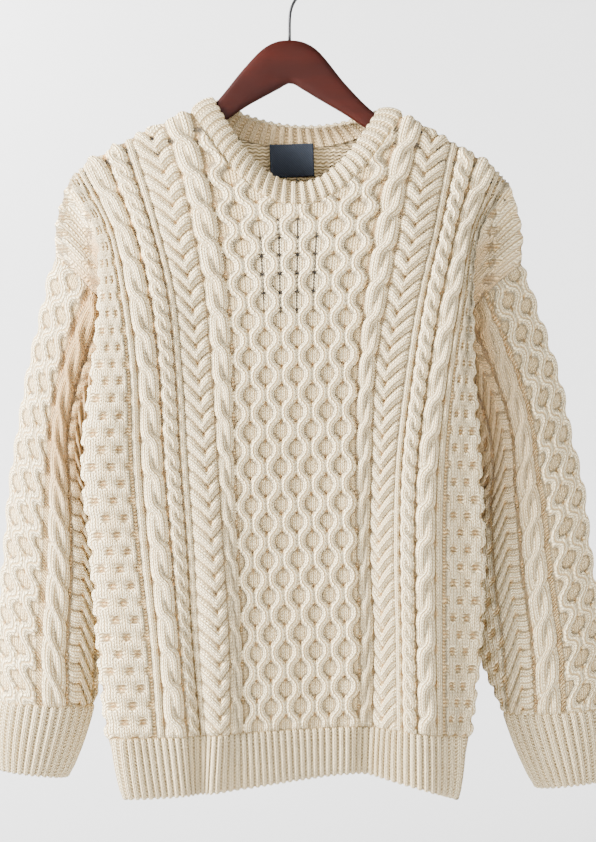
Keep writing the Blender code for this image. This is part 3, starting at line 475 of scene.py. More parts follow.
class Knit:
    """Stitches on a grid of cloth: how high they stand and which way they run."""

    WALE = 4.2
    ROW = 3.5
    CROWN = 5.6
    GROUND = 0.7
    # Painted shade over the sunken purl ground.
    GROUND_GAP = 0.55
    STEEP = 0.92
    # How far a honeycomb strand swings and half its width, as shares of the pitch.
    SWING = 0.27
    STRAND = 0.35
    # Height and shade of a cell's floor, and where its tips lie in the period.
    FLOOR = (1.1, 0.22)
    TIP = 0.262
    # Half width and half height of a purl block, as shares of the pitch.
    BLOCK = (0.19, 0.22)
    # Counts of stitches start apart, so that no two patterns share their unevenness.
    CELL_COUNT = 100.0
    BASKET_COUNT = 101.0

    def __init__(self, across: Array, up: Array) -> None:
        """Starts from plain purl ground.

        Args:
            across: Chart distance of each point.
            up: Its distance along the knitting.
        """
        self.across = across
        self.up = up
        self.height = np.full(across.shape, self.GROUND)
        self.wale = across / self.WALE
        self.row = up / self.ROW
        self.purl = np.ones(across.shape)
        # gap is painted shade; bare marks open stitches that show dark through them.
        self.gap = np.full(across.shape, self.GROUND_GAP)
        self.bare = np.zeros(across.shape)
        self.line = np.zeros(across.shape)

    def lay(self, where: Array, height: Array, wale: Array, row: Array,
            gap: Array | float = 0.0) -> None:
        """Puts smooth stitches over those that are lower.

        Args:
            where: The points that the stitches may cover.
            height: How high they stand.
            wale: Count of columns of stitches across them.
            row: Count of stitches along them.
            gap: How deep in shade they lie.
        """
        top = where & (height > self.height)
        for key, value in (("height", height), ("wale", wale), ("row", row), ("purl", 0.0),
                           ("gap", gap)):
            setattr(self, key, np.where(top, value, getattr(self, key)))

    def pit(self, distance: Array, depth: float, shade: float) -> None:
        """Presses small holes with painted shade in them, `distance` being 1 at their rims."""
        near = np.exp(-1.6 * distance ** 2)
        self.height = self.height - depth * near
        self.gap = np.maximum(self.gap, shade * near)

    def strand(self, where: Array, centre: Array, slope: Array, half: float, lift: Array,
               wales: int) -> None:
        """Lays one rounded strand of knitting.

        Args:
            where: The points that it may cover.
            centre: Its distance from each point, across the chart.
            slope: How far it leans for each step up.
            half: Half of its width.
            lift: 1 where it passes over another strand, -1 where it passes under.
            wales: How many columns of stitches it has.
        """
        turn = np.sqrt(1.0 + slope ** 2)
        side = centre / (half * turn)
        row = (self.up + centre * slope / turn ** 2) * 1.08 / self.ROW
        crown = self.CROWN * (1.0 + 0.38 * lift)
        # Painted shade along both edges of the strand.
        self.lay(where & (abs(side) < 1.0), crown * dome(side, 0.55), (side + 1.0) * 0.5 * wales,
                 row, 0.38 * ramp(abs(side), 0.72, 1.0))

    def honeycomb(self, pitch: float, period: float, strands: int, crossing: float) -> None:
        """Strands that part and meet in rows of staggered cells."""
        edge = 0.5 * pitch * strands
        inside = abs(self.across) < edge
        angle = 2.0 * math.pi * (self.up - crossing) / period
        wave, change = swing(angle + 0.5 * math.pi, 1.15)
        change = change * 2.0 * math.pi / period
        reach = self.SWING * pitch
        cell = np.round(self.across / pitch + 0.5 * (strands % 2)) - 0.5 * (strands % 2)
        middle = self.across - cell * pitch
        index = np.round(cell + 0.5 * strands - 1.0)
        floor, shade = self.FLOOR
        self.lay(inside, np.full(middle.shape, floor), middle / 4.6 + self.CELL_COUNT,
                 self.row, shade)
        for k in range(strands):
            turned = -1.0 if k % 2 == 0 else 1.0
            centre = self.across - (k - (strands - 1) / 2.0) * pitch - turned * reach * wave
            self.strand(inside | (abs(centre) < 5.0), centre, turned * reach * change,
                        self.STRAND * pitch, -0.40 + 0.10 * np.cos(2.0 * angle), 2)
        open_at = np.where(index % 2 == 0, 0.0, 0.5 * period)
        rise = wrapped(self.up - crossing - open_at, period)
        for end in (-1.0, 1.0):
            tip = np.hypot(middle / 2.7, (rise - end * self.TIP * period) / 2.6)
            self.pit(np.where(inside, tip, 9.0), 1.6, 1.1)
            self.line = np.maximum(self.line, inside * np.exp(-1.2 * tip ** 4))
        self.line = np.maximum(self.line, 0.7 * inside * np.exp(-middle ** 2))

    def rope(self, centre: Array, width: float, period: float, phase: float, lean: float,
             sharp: float, wales: int) -> None:
        """Two strands twisted round each other.

        Args:
            centre: Distance from the middle of the rope.
            width: Its width.
            period: From one crossing to the next.
            phase: Where a crossing lies.
            lean: 1 if the upper strand climbs toward the larger distances.
            sharp: How suddenly the strands cross.
            wales: Columns of stitches in each strand.
        """
        where = abs(centre) < 0.62 * width
        angle = math.pi * (self.up - phase) / period
        wave, change = swing(angle, sharp)
        reach, half = (0.215, 0.315) if wales > 2 else (0.235, 0.295)
        reach, half = reach * width, half * width
        change = change * reach * math.pi / period
        for turned in (-1.0, 1.0):
            lift = turned * lean * np.cos(angle)
            self.strand(where, centre - turned * reach * wave, turned * change, half, lift,
                        wales)
        crossing = wrapped(self.up - phase, period)
        for end in (-1.0, 1.0):
            self.pit(np.hypot((centre - end * 0.56 * width) / 2.2, crossing / 4.5), 0.6, 0.9)

    def plait(self, centre: Array, inner: float, outer: float, period: float,
              phase: float) -> None:
        """Strands that lean down to the middle from both sides, in a row of V shapes."""
        arm = np.where(centre < 0.0, inner, outer)
        out = abs(centre) / arm
        where = out < 1.0
        rounded = np.sin(0.5 * math.pi * np.clip(out, 0.0, 1.0))
        climb = self.STEEP * arm * (0.45 * out + 0.55 * rounded)
        rise = wrapped(self.up - phase - climb, period)
        turn = math.hypot(1.0, self.STEEP)
        side = rise / (0.5 * period)
        profile = (0.25 + 0.75 * np.cos(0.5 * math.pi * side) ** 1.1) * np.clip(
            1.0 - out ** 5, 0.0, 1.0) ** 0.5
        along = abs(centre) * turn + (self.up - phase - climb - rise) * 0.31
        # Painted shade where one arm meets the next.
        self.lay(where, self.CROWN * 1.05 * profile, (side + 1.0) * 1.5, along / self.ROW,
                 0.34 * ramp(abs(side), 0.74, 1.0))
        middle = wrapped(self.up - phase - 0.48 * period, period)
        self.pit(np.hypot(centre / 2.0, middle / 3.0), 1.6, 1.0)

    def ridge(self, centre: Array, half: float, crown: float) -> None:
        """A narrow upright rib of two columns of stitches."""
        side = centre / half
        self.lay(abs(side) < 1.0, crown * dome(side, 0.6), side + 1.0, self.row)

    def basket(self, where: Array, across: Array, pitch: float) -> None:
        """Upright pairs of columns, each broken by staggered blocks of purl."""
        level = np.round(self.up / pitch)
        shift = np.where(level % 2 == 0, 0.0, 0.5 * pitch)
        wide, tall = (share * pitch for share in self.BLOCK)
        block = ((abs(wrapped(across - shift, pitch)) / wide) ** 3
                 + (abs(wrapped(self.up, pitch)) / tall) ** 3) ** (1.0 / 3.0)
        low = ramp(block, 1.20, 0.70)
        halo = ramp(block, 1.90, 1.20)
        column = wrapped(across, 0.25 * pitch) / (0.125 * pitch)
        high = 2.5 + 1.4 * dome(column, 0.7)
        high = high - 0.7 * np.cos(2.0 * math.pi * self.up / pitch) - 0.9 * halo
        self.lay(where, high * (1.0 - low) + 0.6 * low,
                 across / (0.25 * pitch) + self.BASKET_COUNT, self.row)
        self.purl = np.where(where & (halo > 0.5), 1.0, self.purl)
        # Painted shade round the purl blocks and along the seams between columns.
        seam = 0.40 * ramp(abs(column), 0.66, 1.0)
        self.gap = np.where(where, np.maximum(0.33 * halo + 0.30 * low, seam), self.gap)

    def settle(self, rows: int, columns: int) -> None:
        """Shades each hollow by how far it lies below the stitches round it."""
        hollow = (blur(self.height, rows, columns) - self.height - 0.3) / 2.8
        self.gap = np.clip(self.gap * 0.85 + 0.65 * np.clip(hollow, 0.0, 1.0), 0.0, 1.0)


@dataclass(frozen=True)
class Chart:
    """The knitting chart: how the patterns lie side by side."""

    honeycomb_pitch: float = 15.6
    honeycomb_period: float = 37.4
    honeycomb_strands: int = 8
    honeycomb_crossing: float = 4.7
    cable_period: float = 35.8
    inner_cable: tuple = (73.0, 18.5)
    inner_phases: tuple = (33.0, 21.0)
    plait_centre: float = 95.0
    plait_arms: tuple = (12.2, 20.4)
    plait_period: float = 17.9
    plait_phases: tuple = (9.2, 1.5)
    narrow_ribs: tuple = (119.5, 170.0)
    rope_place: tuple = (132.7, 17.0)
    rope_period: float = 17.5
    outer_cable: tuple = (153.7, 22.6)
    outer_phase: float = 16.0
    basket_start: float = 178.0
    basket_pitch: float = 17.2
    sleeve_pitch: float = 19.0
    sleeve_period: float = 34.3
    sleeve_cable: tuple = (17.5, 24.0)
    sleeve_plait: tuple = (44.0, 12.0, 16.0)
    sleeve_basket: float = 62.0

    def body(self, u: Array, r: Array) -> Knit:
        """Stitches of a body panel at chart distance u and height r over its bottom."""
        knit = Knit(u, r)
        a = abs(u)
        left = u < 0.0
        knit.honeycomb(self.honeycomb_pitch, self.honeycomb_period, self.honeycomb_strands,
                       self.honeycomb_crossing)
        place, width = self.inner_cable
        knit.rope(a - place, width, self.cable_period, np.where(left, *self.inner_phases), 1.0,
                  2.2, 3)
        knit.plait(a - self.plait_centre, *self.plait_arms, self.plait_period,
                   np.where(left, *self.plait_phases))
        for place in self.narrow_ribs:
            knit.ridge(a - place, 4.0, 3.6)
        place, width = self.rope_place
        knit.rope(np.where(left, u + place, u - place), width, self.rope_period, 6.0, -1.0,
                  1.2, 2)
        place, width = self.outer_cable
        knit.rope(a - place, width, self.cable_period, self.outer_phase, 1.0, 2.2, 3)
        knit.basket(a > self.basket_start, a - self.basket_start, self.basket_pitch)
        return knit

    def sleeve(self, w: Array, r: Array, crossing: float) -> Knit:
        """Stitches of a sleeve at distance w round from its outer edge and r from its end."""
        knit = Knit(w, r)
        a = abs(w)
        edge = 3.0 * self.sleeve_pitch
        knit.honeycomb(self.sleeve_pitch, self.sleeve_period, 6, crossing)
        place, width = self.sleeve_cable
        knit.rope(a - edge - place, width, self.sleeve_period, crossing, 1.0, 2.2, 3)
        place, inner, outer = self.sleeve_plait
        knit.plait(a - edge - place, inner, outer, self.plait_period, crossing)
        start = edge + self.sleeve_basket
        knit.basket(a > start, a - start, self.basket_pitch)
        return knit


CHART = Chart()
FORM = BodyForm()


class Nodes:
    """Short way to lay shader nodes in one tree."""

    def __init__(self, tree: bpy.types.NodeTree) -> None:
        """Keeps the tree that the nodes go into."""
        self.tree = tree

    def put(self, kind: str, **settings: object) -> bpy.types.Node:
        """Adds a node of this kind with these settings."""
        node = self.tree.nodes.new(kind)
        for key, value in settings.items():
            setattr(node, key, value)
        return node

    def feed(self, socket: Socket, value: object) -> None:
        """Links a socket to an input, or sets the input to a plain value."""
        if isinstance(value, Socket):
            self.tree.links.new(value, socket)
        else:
            socket.default_value = value

    def math(self, operation: str, *values: object, clamp: bool = False) -> Socket:
        """Works out one number from others."""
        node = self.put("ShaderNodeMath", operation=operation, use_clamp=clamp)
        for socket, value in zip(node.inputs, values):
            self.feed(socket, value)
        return node.outputs[0]

    def span(self, value: object, low: float, high: float, start: float = 0.0,
             end: float = 1.0) -> Socket:
        """Maps low to high smoothly onto start to end."""
        node = self.put("ShaderNodeMapRange", interpolation_type="SMOOTHSTEP")
        for socket, item in zip(node.inputs, (value, low, high, start, end)):
            self.feed(socket, item)
        return node.outputs[0]

    def mix(self, factor: object, first: object, second: object) -> Socket:
        """Mixes two colours."""
        node = self.put("ShaderNodeMix", data_type="RGBA")
        self.feed(node.inputs[0], factor)
        self.feed(node.inputs[6], first)
        self.feed(node.inputs[7], second)
        return node.outputs[2]

    def noise(self, place: object, scale: float, detail: float = 2.0,
              stretch: tuple | None = None) -> Socket:
        """Soft noise at a place, from 0 to 1."""
        if stretch:
            mapping = self.put("ShaderNodeMapping")
            self.feed(mapping.inputs["Vector"], place)
            mapping.inputs["Scale"].default_value = stretch
            place = mapping.outputs[0]
        node = self.put("ShaderNodeTexNoise")
        self.feed(node.inputs["Vector"], place)
        node.inputs["Scale"].default_value = scale
        node.inputs["Detail"].default_value = detail
        return node.outputs[0]

    def split(self, vector: object) -> list:
        """The three numbers of a vector."""
        node = self.put("ShaderNodeSeparateXYZ")
        self.feed(node.inputs[0], vector)
        return list(node.outputs)


class Surface(Nodes):
    """Nodes of one new material round its shader."""

    def __init__(self, name: str) -> None:
        """Starts the material from a plain shader."""
        self.material = bpy.data.materials.new(name)
        self.material.use_nodes = True
        super().__init__(self.material.node_tree)
        self.shader = self.tree.nodes["Principled BSDF"]

    def place(self) -> Socket:
        """Where a point lies on the object."""
        return self.put("ShaderNodeTexCoord").outputs["Object"]

    def field(self, name: str) -> Socket:
        """What the vertices of a mesh carry under this name."""
        return self.put("ShaderNodeAttribute", attribute_name=name).outputs["Vector"]

    def raise_by(self, height: object, strength: float, distance: float) -> None:
        """Shades the surface as if it stood up by a height, full height being `distance`."""
        relief = self.put("ShaderNodeBump")
        for name, value in (("Strength", strength), ("Distance", distance), ("Height", height)):
            self.feed(relief.inputs[name], value)
        self.feed(self.shader.inputs["Normal"], relief.outputs["Normal"])

    def shade(self, inputs: dict[str, object]) -> Material:
        """Feeds the shader's inputs by their names, and returns the material."""
        for name, value in inputs.items():
            self.feed(self.shader.inputs[name], value)
        return self.material


def stitch_group() -> bpy.types.NodeTree:
    """Node group that draws knitted loops from counts of wales and rows.

    Returns:
        The group, with Height and Crease as its outputs.
    """
    tree = bpy.data.node_groups.new("yarn_loops", "ShaderNodeTree")
    sockets = (("Stitch", "INPUT", "NodeSocketVector"), ("Height", "OUTPUT", "NodeSocketFloat"),
               ("Crease", "OUTPUT", "NodeSocketFloat"))
    for name, way, kind in sockets:
        tree.interface.new_socket(name=name, in_out=way, socket_type=kind)
    n = Nodes(tree)
    start = n.put("NodeGroupInput")
    end = n.put("NodeGroupOutput")
    stitch = start.outputs["Stitch"]
    wale, row, purl = n.split(stitch)
    drift = n.noise(stitch, 0.55, 1.0)
    row = n.math("MULTIPLY_ADD", n.math("SUBTRACT", drift, 0.5), 0.9, row)
    single = n.noise(stitch, 1.7, 1.0)
    across = n.math("ABSOLUTE", n.math("SUBTRACT", n.math("FRACT", wale), 0.5))
    across = n.math("MULTIPLY", across, 2.0)
    turn = 2.0 * math.pi
    phase = n.math("MULTIPLY", n.math("MULTIPLY_ADD", across, -0.75, row), turn)
    leg = n.math("MULTIPLY_ADD", n.math("COSINE", phase), 0.5, 0.5)
    leg = n.math("MULTIPLY_ADD", n.math("POWER", leg, 0.6), 0.72, 0.28)
    split = n.span(across, 0.0, 0.32, 0.30, 1.0)
    side = n.span(across, 0.55, 0.96, 1.0, 0.0)
    even = n.span(single, 0.30, 0.70, 0.72, 1.0)
    knit = n.math("MULTIPLY", n.math("MULTIPLY", leg, even), n.math("MULTIPLY", split, side))
    sway = n.math("MULTIPLY", n.math("COSINE", n.math("MULTIPLY", wale, turn)), 0.9)
    bar = n.math("COSINE", n.math("MULTIPLY_ADD", row, turn, sway))
    bar = n.math("POWER", n.math("MULTIPLY_ADD", bar, 0.5, 0.5), 0.7)
    height = n.put("ShaderNodeMix", data_type="FLOAT")
    n.feed(height.inputs[0], n.span(purl, 0.35, 0.65))
    n.feed(height.inputs[2], knit)
    n.feed(height.inputs[3], bar)
    n.feed(end.inputs["Height"], height.outputs[0])
    n.feed(end.inputs["Crease"], n.math("SUBTRACT", 1.0, height.outputs[0]))
    return tree


@dataclass(frozen=True)
class YarnFinish:
    """Undyed wool yarn: pale where it stands out, with painted shade in warm tan down between the
    stitches.
    """

    name: str
    lit: tuple = (0.96, 0.84, 0.55, 1.0)
    # Painted shade in the creases between and inside the stitches.
    crease_shade: tuple = (0.38, 0.26, 0.12, 1.0)
    # warm is the yarn's own uneven tan, and also painted shade in shallow hollows.
    warm: tuple = (0.80, 0.58, 0.28, 1.0)
    # Painted shade in the deepest hollows between strands.
    deep: tuple = (0.52, 0.27, 0.08, 1.0)
    # Painted warm glow: light through the cloth where it lies in shade, beside the sleeves and on
    # the inner faces.
    inside: tuple = (0.50, 0.27, 0.09, 1.0)
    # seen_through is the dark wood behind open stitches, and painted shade of the unlit inside.
    seen_through: tuple = (0.020, 0.014, 0.012, 1.0)
    roughness: float = 0.95
    sheen: float = 0.10
    relief: float = 0.0024

    def make(self, loops: bpy.types.NodeTree) -> Material:
        """Builds the material round the shared group of knitted loops."""
        n = Surface(self.name)
        stitch = n.field("stitch")
        # tint holds painted shade, open stitches, and the weight of painted warm glow.
        gap, bare, inside = n.split(n.field("tint"))
        group = n.put("ShaderNodeGroup", node_tree=loops)
        n.feed(group.inputs["Stitch"], stitch)
        crease = group.outputs["Crease"]
        place = n.place()
        fibre = n.noise(place, 900.0, 3.0)
        slub = n.noise(place, 34.0, 2.0)
        # Painted shade down in hollows, stronger where the stitches crease: warm tan in shallow
        # ones, deep brown in the deepest.
        sunk_shade = n.math("MULTIPLY", gap, n.math("MULTIPLY_ADD", crease, 0.70, 0.55), clamp=True)
        tone = n.mix(n.span(slub, 0.30, 0.75, 0.0, 0.25), self.lit, self.warm)
        tone = n.mix(n.span(sunk_shade, 0.05, 0.45), tone, self.warm)
        # Painted warm glow where the cloth lies in shade.
        tone = n.mix(n.span(inside, 0.0, 0.9), tone, self.inside)
        # Painted shade in the creases of each stitch.
        tone = n.mix(n.span(crease, 0.30, 0.98), tone, self.crease_shade)
        tone = n.mix(n.span(sunk_shade, 0.46, 1.05, 0.0, 0.95), tone, self.deep)
        # Open stitches go near-black: dark wood behind them, or painted shade of the inside.
        hole = n.math("MULTIPLY", bare, n.span(crease, 0.25, 0.75, 0.35, 1.0))
        tone = n.mix(n.span(hole, 0.20, 0.85), tone, self.seen_through)
        tone = n.mix(n.span(fibre, 0.25, 0.8, 0.0, 0.10), tone, self.warm)
        n.raise_by(n.math("MULTIPLY_ADD", fibre, 0.14, group.outputs["Height"]), 1.0, self.relief)
        return n.shade({"Base Color": tone, "Roughness": self.roughness,
                        "Sheen Weight": self.sheen, "Sheen Roughness": 0.6,
                        "Specular IOR Level": 0.15})


@dataclass(frozen=True)
class WoodFinish:
    """Satin mahogany with fine long grain."""

    name: str = "satin_mahogany"
    light: tuple = (0.029, 0.0052, 0.0033, 1.0)
    dark: tuple = (0.020, 0.0045, 0.0032, 1.0)

    def make(self) -> Material:
        """Builds the material."""
        n = Surface(self.name)
        place = n.place()
        broad = n.noise(place, 9.0, 3.0, (1.0, 6.0, 7.0))
        pores = n.noise(place, 60.0, 4.0, (1.0, 9.0, 14.0))
        tone = n.mix(n.span(broad, 0.3, 0.7), self.light, self.dark)
        tone = n.mix(n.span(pores, 0.52, 0.72, 0.0, 0.55), tone, self.dark)
        n.raise_by(pores, 0.25, 0.0003)
        return n.shade({"Base Color": tone, "Roughness": n.span(pores, 0.3, 0.8, 0.36, 0.52),
                        "Coat Weight": 0.03, "Coat Roughness": 0.22,
                        "Specular IOR Level": 0.08})


@dataclass(frozen=True)
class WireFinish:
    """Black lacquered wire, worn a little where it rubs."""

    name: str = "black_wire"
    lacquer: tuple = (0.012, 0.012, 0.013, 1.0)
    worn: tuple = (0.07, 0.068, 0.066, 1.0)

    def make(self) -> Material:
        """Builds the material."""
        n = Surface(self.name)
        rub = n.noise(n.place(), 240.0, 3.0)
        return n.shade({"Base Color": n.mix(n.span(rub, 0.6, 0.8), self.lacquer, self.worn),
                        "Roughness": n.span(rub, 0.3, 0.8, 0.26, 0.5), "Metallic": 0.6})


@dataclass(frozen=True)
class RibbonFinish:
    """Close twill of a woven label, with nothing written on it."""

    name: str = "navy_twill"
    warp: tuple = (0.009, 0.012, 0.018, 1.0)
    weft: tuple = (0.021, 0.026, 0.036, 1.0)
    thread: float = 2600.0

    def make(self) -> Material:
        """Builds the material."""
        n = Surface(self.name)
        x, _, z = n.split(n.place())
        twill = n.math("MULTIPLY", n.math("ADD", x, z), self.thread)
        twill = n.math("MULTIPLY_ADD", n.math("SINE", twill), 0.5, 0.5)
        rise = n.math("MULTIPLY_ADD", n.math("SINE", n.math("MULTIPLY", z, 2.4 * self.thread)),
                      0.25, twill)
        n.raise_by(rise, 0.5, 0.0003)
        return n.shade({"Base Color": n.mix(twill, self.warp, self.weft), "Roughness": 0.8,
                        "Specular IOR Level": 0.15, "Sheen Weight": 0.05})


@dataclass
class Layer:
    """One side of a piece of cloth on a grid of rows and columns."""

    points: Array
    stitch: Array
    tint: Array

    @classmethod
    def of(cls, points: Array, knit: Knit, inside: Array | float = 0.0) -> "Layer":
        """Joins points with the stitches that cover them."""
        stitch = np.stack([knit.wale, knit.row, knit.purl], -1)
        # inside is the weight of painted warm glow.
        glow = np.broadcast_to(inside, knit.gap.shape)
        tint = np.stack([knit.gap, knit.bare, glow], -1)
        return cls(points, stitch, tint)

    @classmethod
    def join(cls, *layers: "Layer") -> "Layer":
        """Puts layers one after another down the rows."""
        return cls(*(np.concatenate([getattr(layer, key) for layer in layers])
                     for key in ("points", "stitch", "tint")))

    def first(self) -> "Layer":
        """Its first row alone, which closes a rolled piece."""
        return Layer(self.points[:1], self.stitch[:1], self.tint[:1])

    def keep_beside(self, face: Face, clear: float = 0.04) -> None:
        """Keeps its points on one side of the hanger's plane."""
        out = face.value * self.points[..., 1]
        self.points[..., 1] = face.value * np.maximum(out, clear)


def grid_normals(points: Array, wrap: bool, smooth: int) -> Array:
    """Unit directions out of a grid of points, columns turned onto rows.

    Args:
        points: The grid.
        wrap: Whether its first and last columns are the same points.
        smooth: How many rows and columns each way they are evened over.

    Returns:
        One direction for each point.
    """
    if wrap:
        wide = np.concatenate([points[:, -2:-1], points, points[:, 1:2]], 1)
        along = wide[:, 2:] - wide[:, :-2]
    else:
        along = np.gradient(points, axis=1)
    normal = np.cross(along, np.gradient(points, axis=0))
    normal /= np.maximum(np.linalg.norm(normal, axis=-1, keepdims=True), 1e-9)
    normal = np.stack([blur(normal[..., k], smooth, smooth) for k in range(3)], -1)
    if wrap:
        normal[:, 0] = normal[:, -1] = normal[:, 0] + normal[:, -1]
    return normal / np.maximum(np.linalg.norm(normal, axis=-1, keepdims=True), 1e-9)


def link(name: str, data: bpy.types.ID) -> Piece:
    """Puts an object with this data into the scene."""
    made = bpy.data.objects.new(name, data)
    bpy.context.scene.collection.objects.link(made)
    return made


def open_edges(mesh_data: bmesh.types.BMesh) -> list:
    """The edges that have a face on one side only."""
    return [edge for edge in mesh_data.edges if edge.is_boundary]


def flat_grid(mesh_data: bmesh.types.BMesh, columns: int, rows: int, level: float) -> list:
    """Adds a flat unit grid at this level, and returns its vertices."""
    made = bmesh.ops.create_grid(mesh_data, x_segments=columns, y_segments=rows, size=0.5)
    bmesh.ops.translate(mesh_data, verts=made["verts"], vec=(0.0, 0.0, level))
    return made["verts"]


def mould(mesh_data: bmesh.types.BMesh, outer: Layer, inner: Layer | None = None) -> None:
    """Gives the vertices of flat grids their places and their stitches.

    Args:
        mesh_data: Flat unit grids, the outer one at level 1 where there are two.
        outer: Where the outer grid goes.
        inner: Where the inner one goes, counted on the outer one's rows and columns.
    """
    flat = np.array([vert.co[:] for vert in mesh_data.verts])
    rows, columns = (size - 1 for size in outer.points.shape[:2])
    i = np.rint((flat[:, 0] + 0.5) * columns).astype(int)
    j = np.rint((flat[:, 1] + 0.5) * rows).astype(int)
    out = flat[:, 2] > 0.5
    stitch_layer = mesh_data.verts.layers.float_vector.new("stitch")
    tint_layer = mesh_data.verts.layers.float_vector.new("tint")
    fields = []
    for key in ("points", "stitch", "tint"):
        field = getattr(outer, key)[j, i]
        if inner is not None:
            field = np.where(out[:, None], field, getattr(inner, key)[j, i])
        fields.append(field)
    for vert, point, stitch, tint in zip(mesh_data.verts, fields[0] * MM, *fields[1:]):
        vert.co = point
        vert[stitch_layer] = stitch
        vert[tint_layer] = tint


def weld(mesh_data: bmesh.types.BMesh) -> None:
    """Joins the open edges of a rolled grid where they lie on each other."""
    rim = [vert for vert in mesh_data.verts if vert.is_boundary]
    bmesh.ops.remove_doubles(mesh_data, verts=rim, dist=2e-6)


def finish(name: str, mesh_data: bmesh.types.BMesh, material: Material,
           node: str) -> Piece:
    """Turns a closed bmesh into a smooth piece on the sweater.

    Args:
        name: Name of the piece.
        mesh_data: Its closed mesh, freed here.
        material: Its finish.
        node: The solid that it stands for.

    Returns:
        The piece.
    """
    bmesh.ops.recalc_face_normals(mesh_data, faces=mesh_data.faces)
    if mesh_data.calc_volume(signed=True) < 0.0:
        bmesh.ops.reverse_faces(mesh_data, faces=mesh_data.faces)
    mesh = bpy.data.meshes.new(name)
    mesh_data.to_mesh(mesh)
    mesh_data.free()
    mesh.shade_smooth()
    mesh.materials.append(material)
    piece = link(name, mesh)
    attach(piece, "root")
    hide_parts(node)
    LOG.info("%s: %d faces", name, len(mesh.polygons))
    return piece


def rolled(name: str, layer: Layer, material: Material, node: str) -> Piece:
    """Piece whose rows run down one side of the cloth and up the other."""
    mesh_data = bmesh.new()
    rows, columns = (size - 1 for size in layer.points.shape[:2])
    flat_grid(mesh_data, columns, rows, 0.0)
    mould(mesh_data, layer)
    weld(mesh_data)
    ends = open_edges(mesh_data)
    if ends:
        caps = bmesh.ops.holes_fill(mesh_data, edges=ends, sides=0)
        bmesh.ops.triangulate(mesh_data, faces=caps["faces"])
    return finish(name, mesh_data, material, node)


@dataclass
class BodyPanel:
    """Front or back of the body, as a closed sheet with a fine and a plain side."""

    face: Face
    columns: tuple = ((-262, -220, 14), (-220, -175, 22), (-175, 175, 240),
                      (175, 220, 22), (220, 262, 14))
    rows: tuple = (164, 124)
    coarse: int = 4
    wall: float = 1.0
    smooth: int = 6
    # Painted shade and painted warm glow over the plain inner side.
    inside_gap: float = 0.35
    inside_glow: float = 0.30
    cut: tuple = (0.50, 0.64)
    cut_area: float = 0.285

    @property
    def name(self) -> str:
        """Name of the solid that the panel stands for."""
        return self.face.name.lower()

    def grid(self) -> tuple[Array, Array]:
        """Chart distances of the columns, and rows from the hem to the top."""
        spans = [np.linspace(a, b, count, endpoint=False) for a, b, count in self.columns]
        u = np.concatenate([*spans, [self.columns[-1][1]]])
        low = np.linspace(0.0, FORM.level_t, self.rows[0], endpoint=False)
        w = np.linspace(0.0, 1.0, self.rows[1] + 1)
        high = FORM.level_t + (1.0 - FORM.level_t) * (1.0 - (1.0 - w) ** (1.0 / FORM.crowding))
        return u, np.concatenate([low, high])

    def knit(self, u: Array, base: Array) -> Knit:
        """Stitches over the panel, with dark wood showing through near the shoulders."""
        across, x, z = np.broadcast_to(u, base.shape[:2]), base[..., 0], base[..., 2]
        knit = CHART.body(across, z - FORM.low(u)[None])
        knit.settle(3, 4)
        over = (x - FORM.neck_centre) / FORM.neck_half
        fall = np.where(abs(over) < 1.0, FORM.neck_z, FORM.shoulder_z(x)) - z
        near = bump((fall - 18.0) / 32.0) * ramp(fall, 5.0, 10.0)
        near = near * (abs(x) < 222.0)
        holes = ramp(knit.gap, 0.24, 0.44)
        open_rows = ramp(np.cos(2.0 * math.pi * z / 14.0 + 0.05 * across), 0.1, 0.6)
        knit.bare = 1.4 * near * holes * open_rows
        # Dark specks in the upper honeycomb: painted shade of the unlit inside through open
        # stitches, with less painted shade on the cells round them.
        if self.face is Face.FRONT:
            high = ease(2.2 * bump((z + 318.0) / 74.0) * bump((x + 2.0) / 60.0))
            knit.bare = np.maximum(knit.bare, 1.8 * high * knit.line)
            knit.gap = knit.gap * (1.0 - 0.4 * high)
        return knit

    @staticmethod
    def glow(u: Array, z: Array) -> Array:
        """Warm light in the hollow beside the sleeves, from 0 to 1."""
        rim = ramp(abs(u), 234.0, 246.0)[None] * ramp(z, -350.0, -290.0)
        hollow = ramp(abs(u), 219.0, 228.0)[None] * ramp(z, -640.0, -480.0)
        hollow = hollow * ramp(z, -250.0, -320.0) * (1.0 - 0.8 * rim)
        return np.where(u < 0.0, 0.9, 0.7)[None] * hollow

    def build(self, yarn: Material) -> Piece:
        """Makes the panel."""
        u, t = self.grid()
        base = FORM.panel(u, t, self.face)
        normal = grid_normals(base, False, self.smooth) * -self.face.value
        knit = self.knit(u, base)
        fade = (ramp(t, 0.0, 0.006) * ramp(t, 1.0, 0.990))[:, None]
        fade = fade * ramp(abs(u), FORM.edge_chart - 2.0, FORM.edge_chart - 16.0)[None]
        height = self.wall + (0.25 + 0.75 * fade) * knit.height
        outer = Layer.of(base + normal * height[..., None], knit, self.glow(u, base[..., 2]))
        rough = Knit(np.broadcast_to(u, base.shape[:2]), base[..., 2])
        rough.gap = np.full(rough.gap.shape, self.inside_gap)
        inner = Layer.of(base, rough, self.inside_glow)
        for layer in (outer, inner):
            layer.keep_beside(self.face)
        mesh_data = bmesh.new()
        columns, rows = len(u) - 1, len(t) - 1
        flat_grid(mesh_data, columns, rows, 1.0)
        flat_grid(mesh_data, columns // self.coarse, rows // self.coarse, 0.0)
        coarse_rim = [edge for edge in open_edges(mesh_data) if edge.verts[0].co.z < 0.5]
        bmesh.ops.subdivide_edges(mesh_data, edges=coarse_rim, cuts=self.coarse - 1)
        bmesh.ops.bridge_loops(mesh_data, edges=open_edges(mesh_data))
        mould(mesh_data, outer, inner)
        piece = finish(f"knit_{self.name}", mesh_data, yarn, self.name)
        return piece


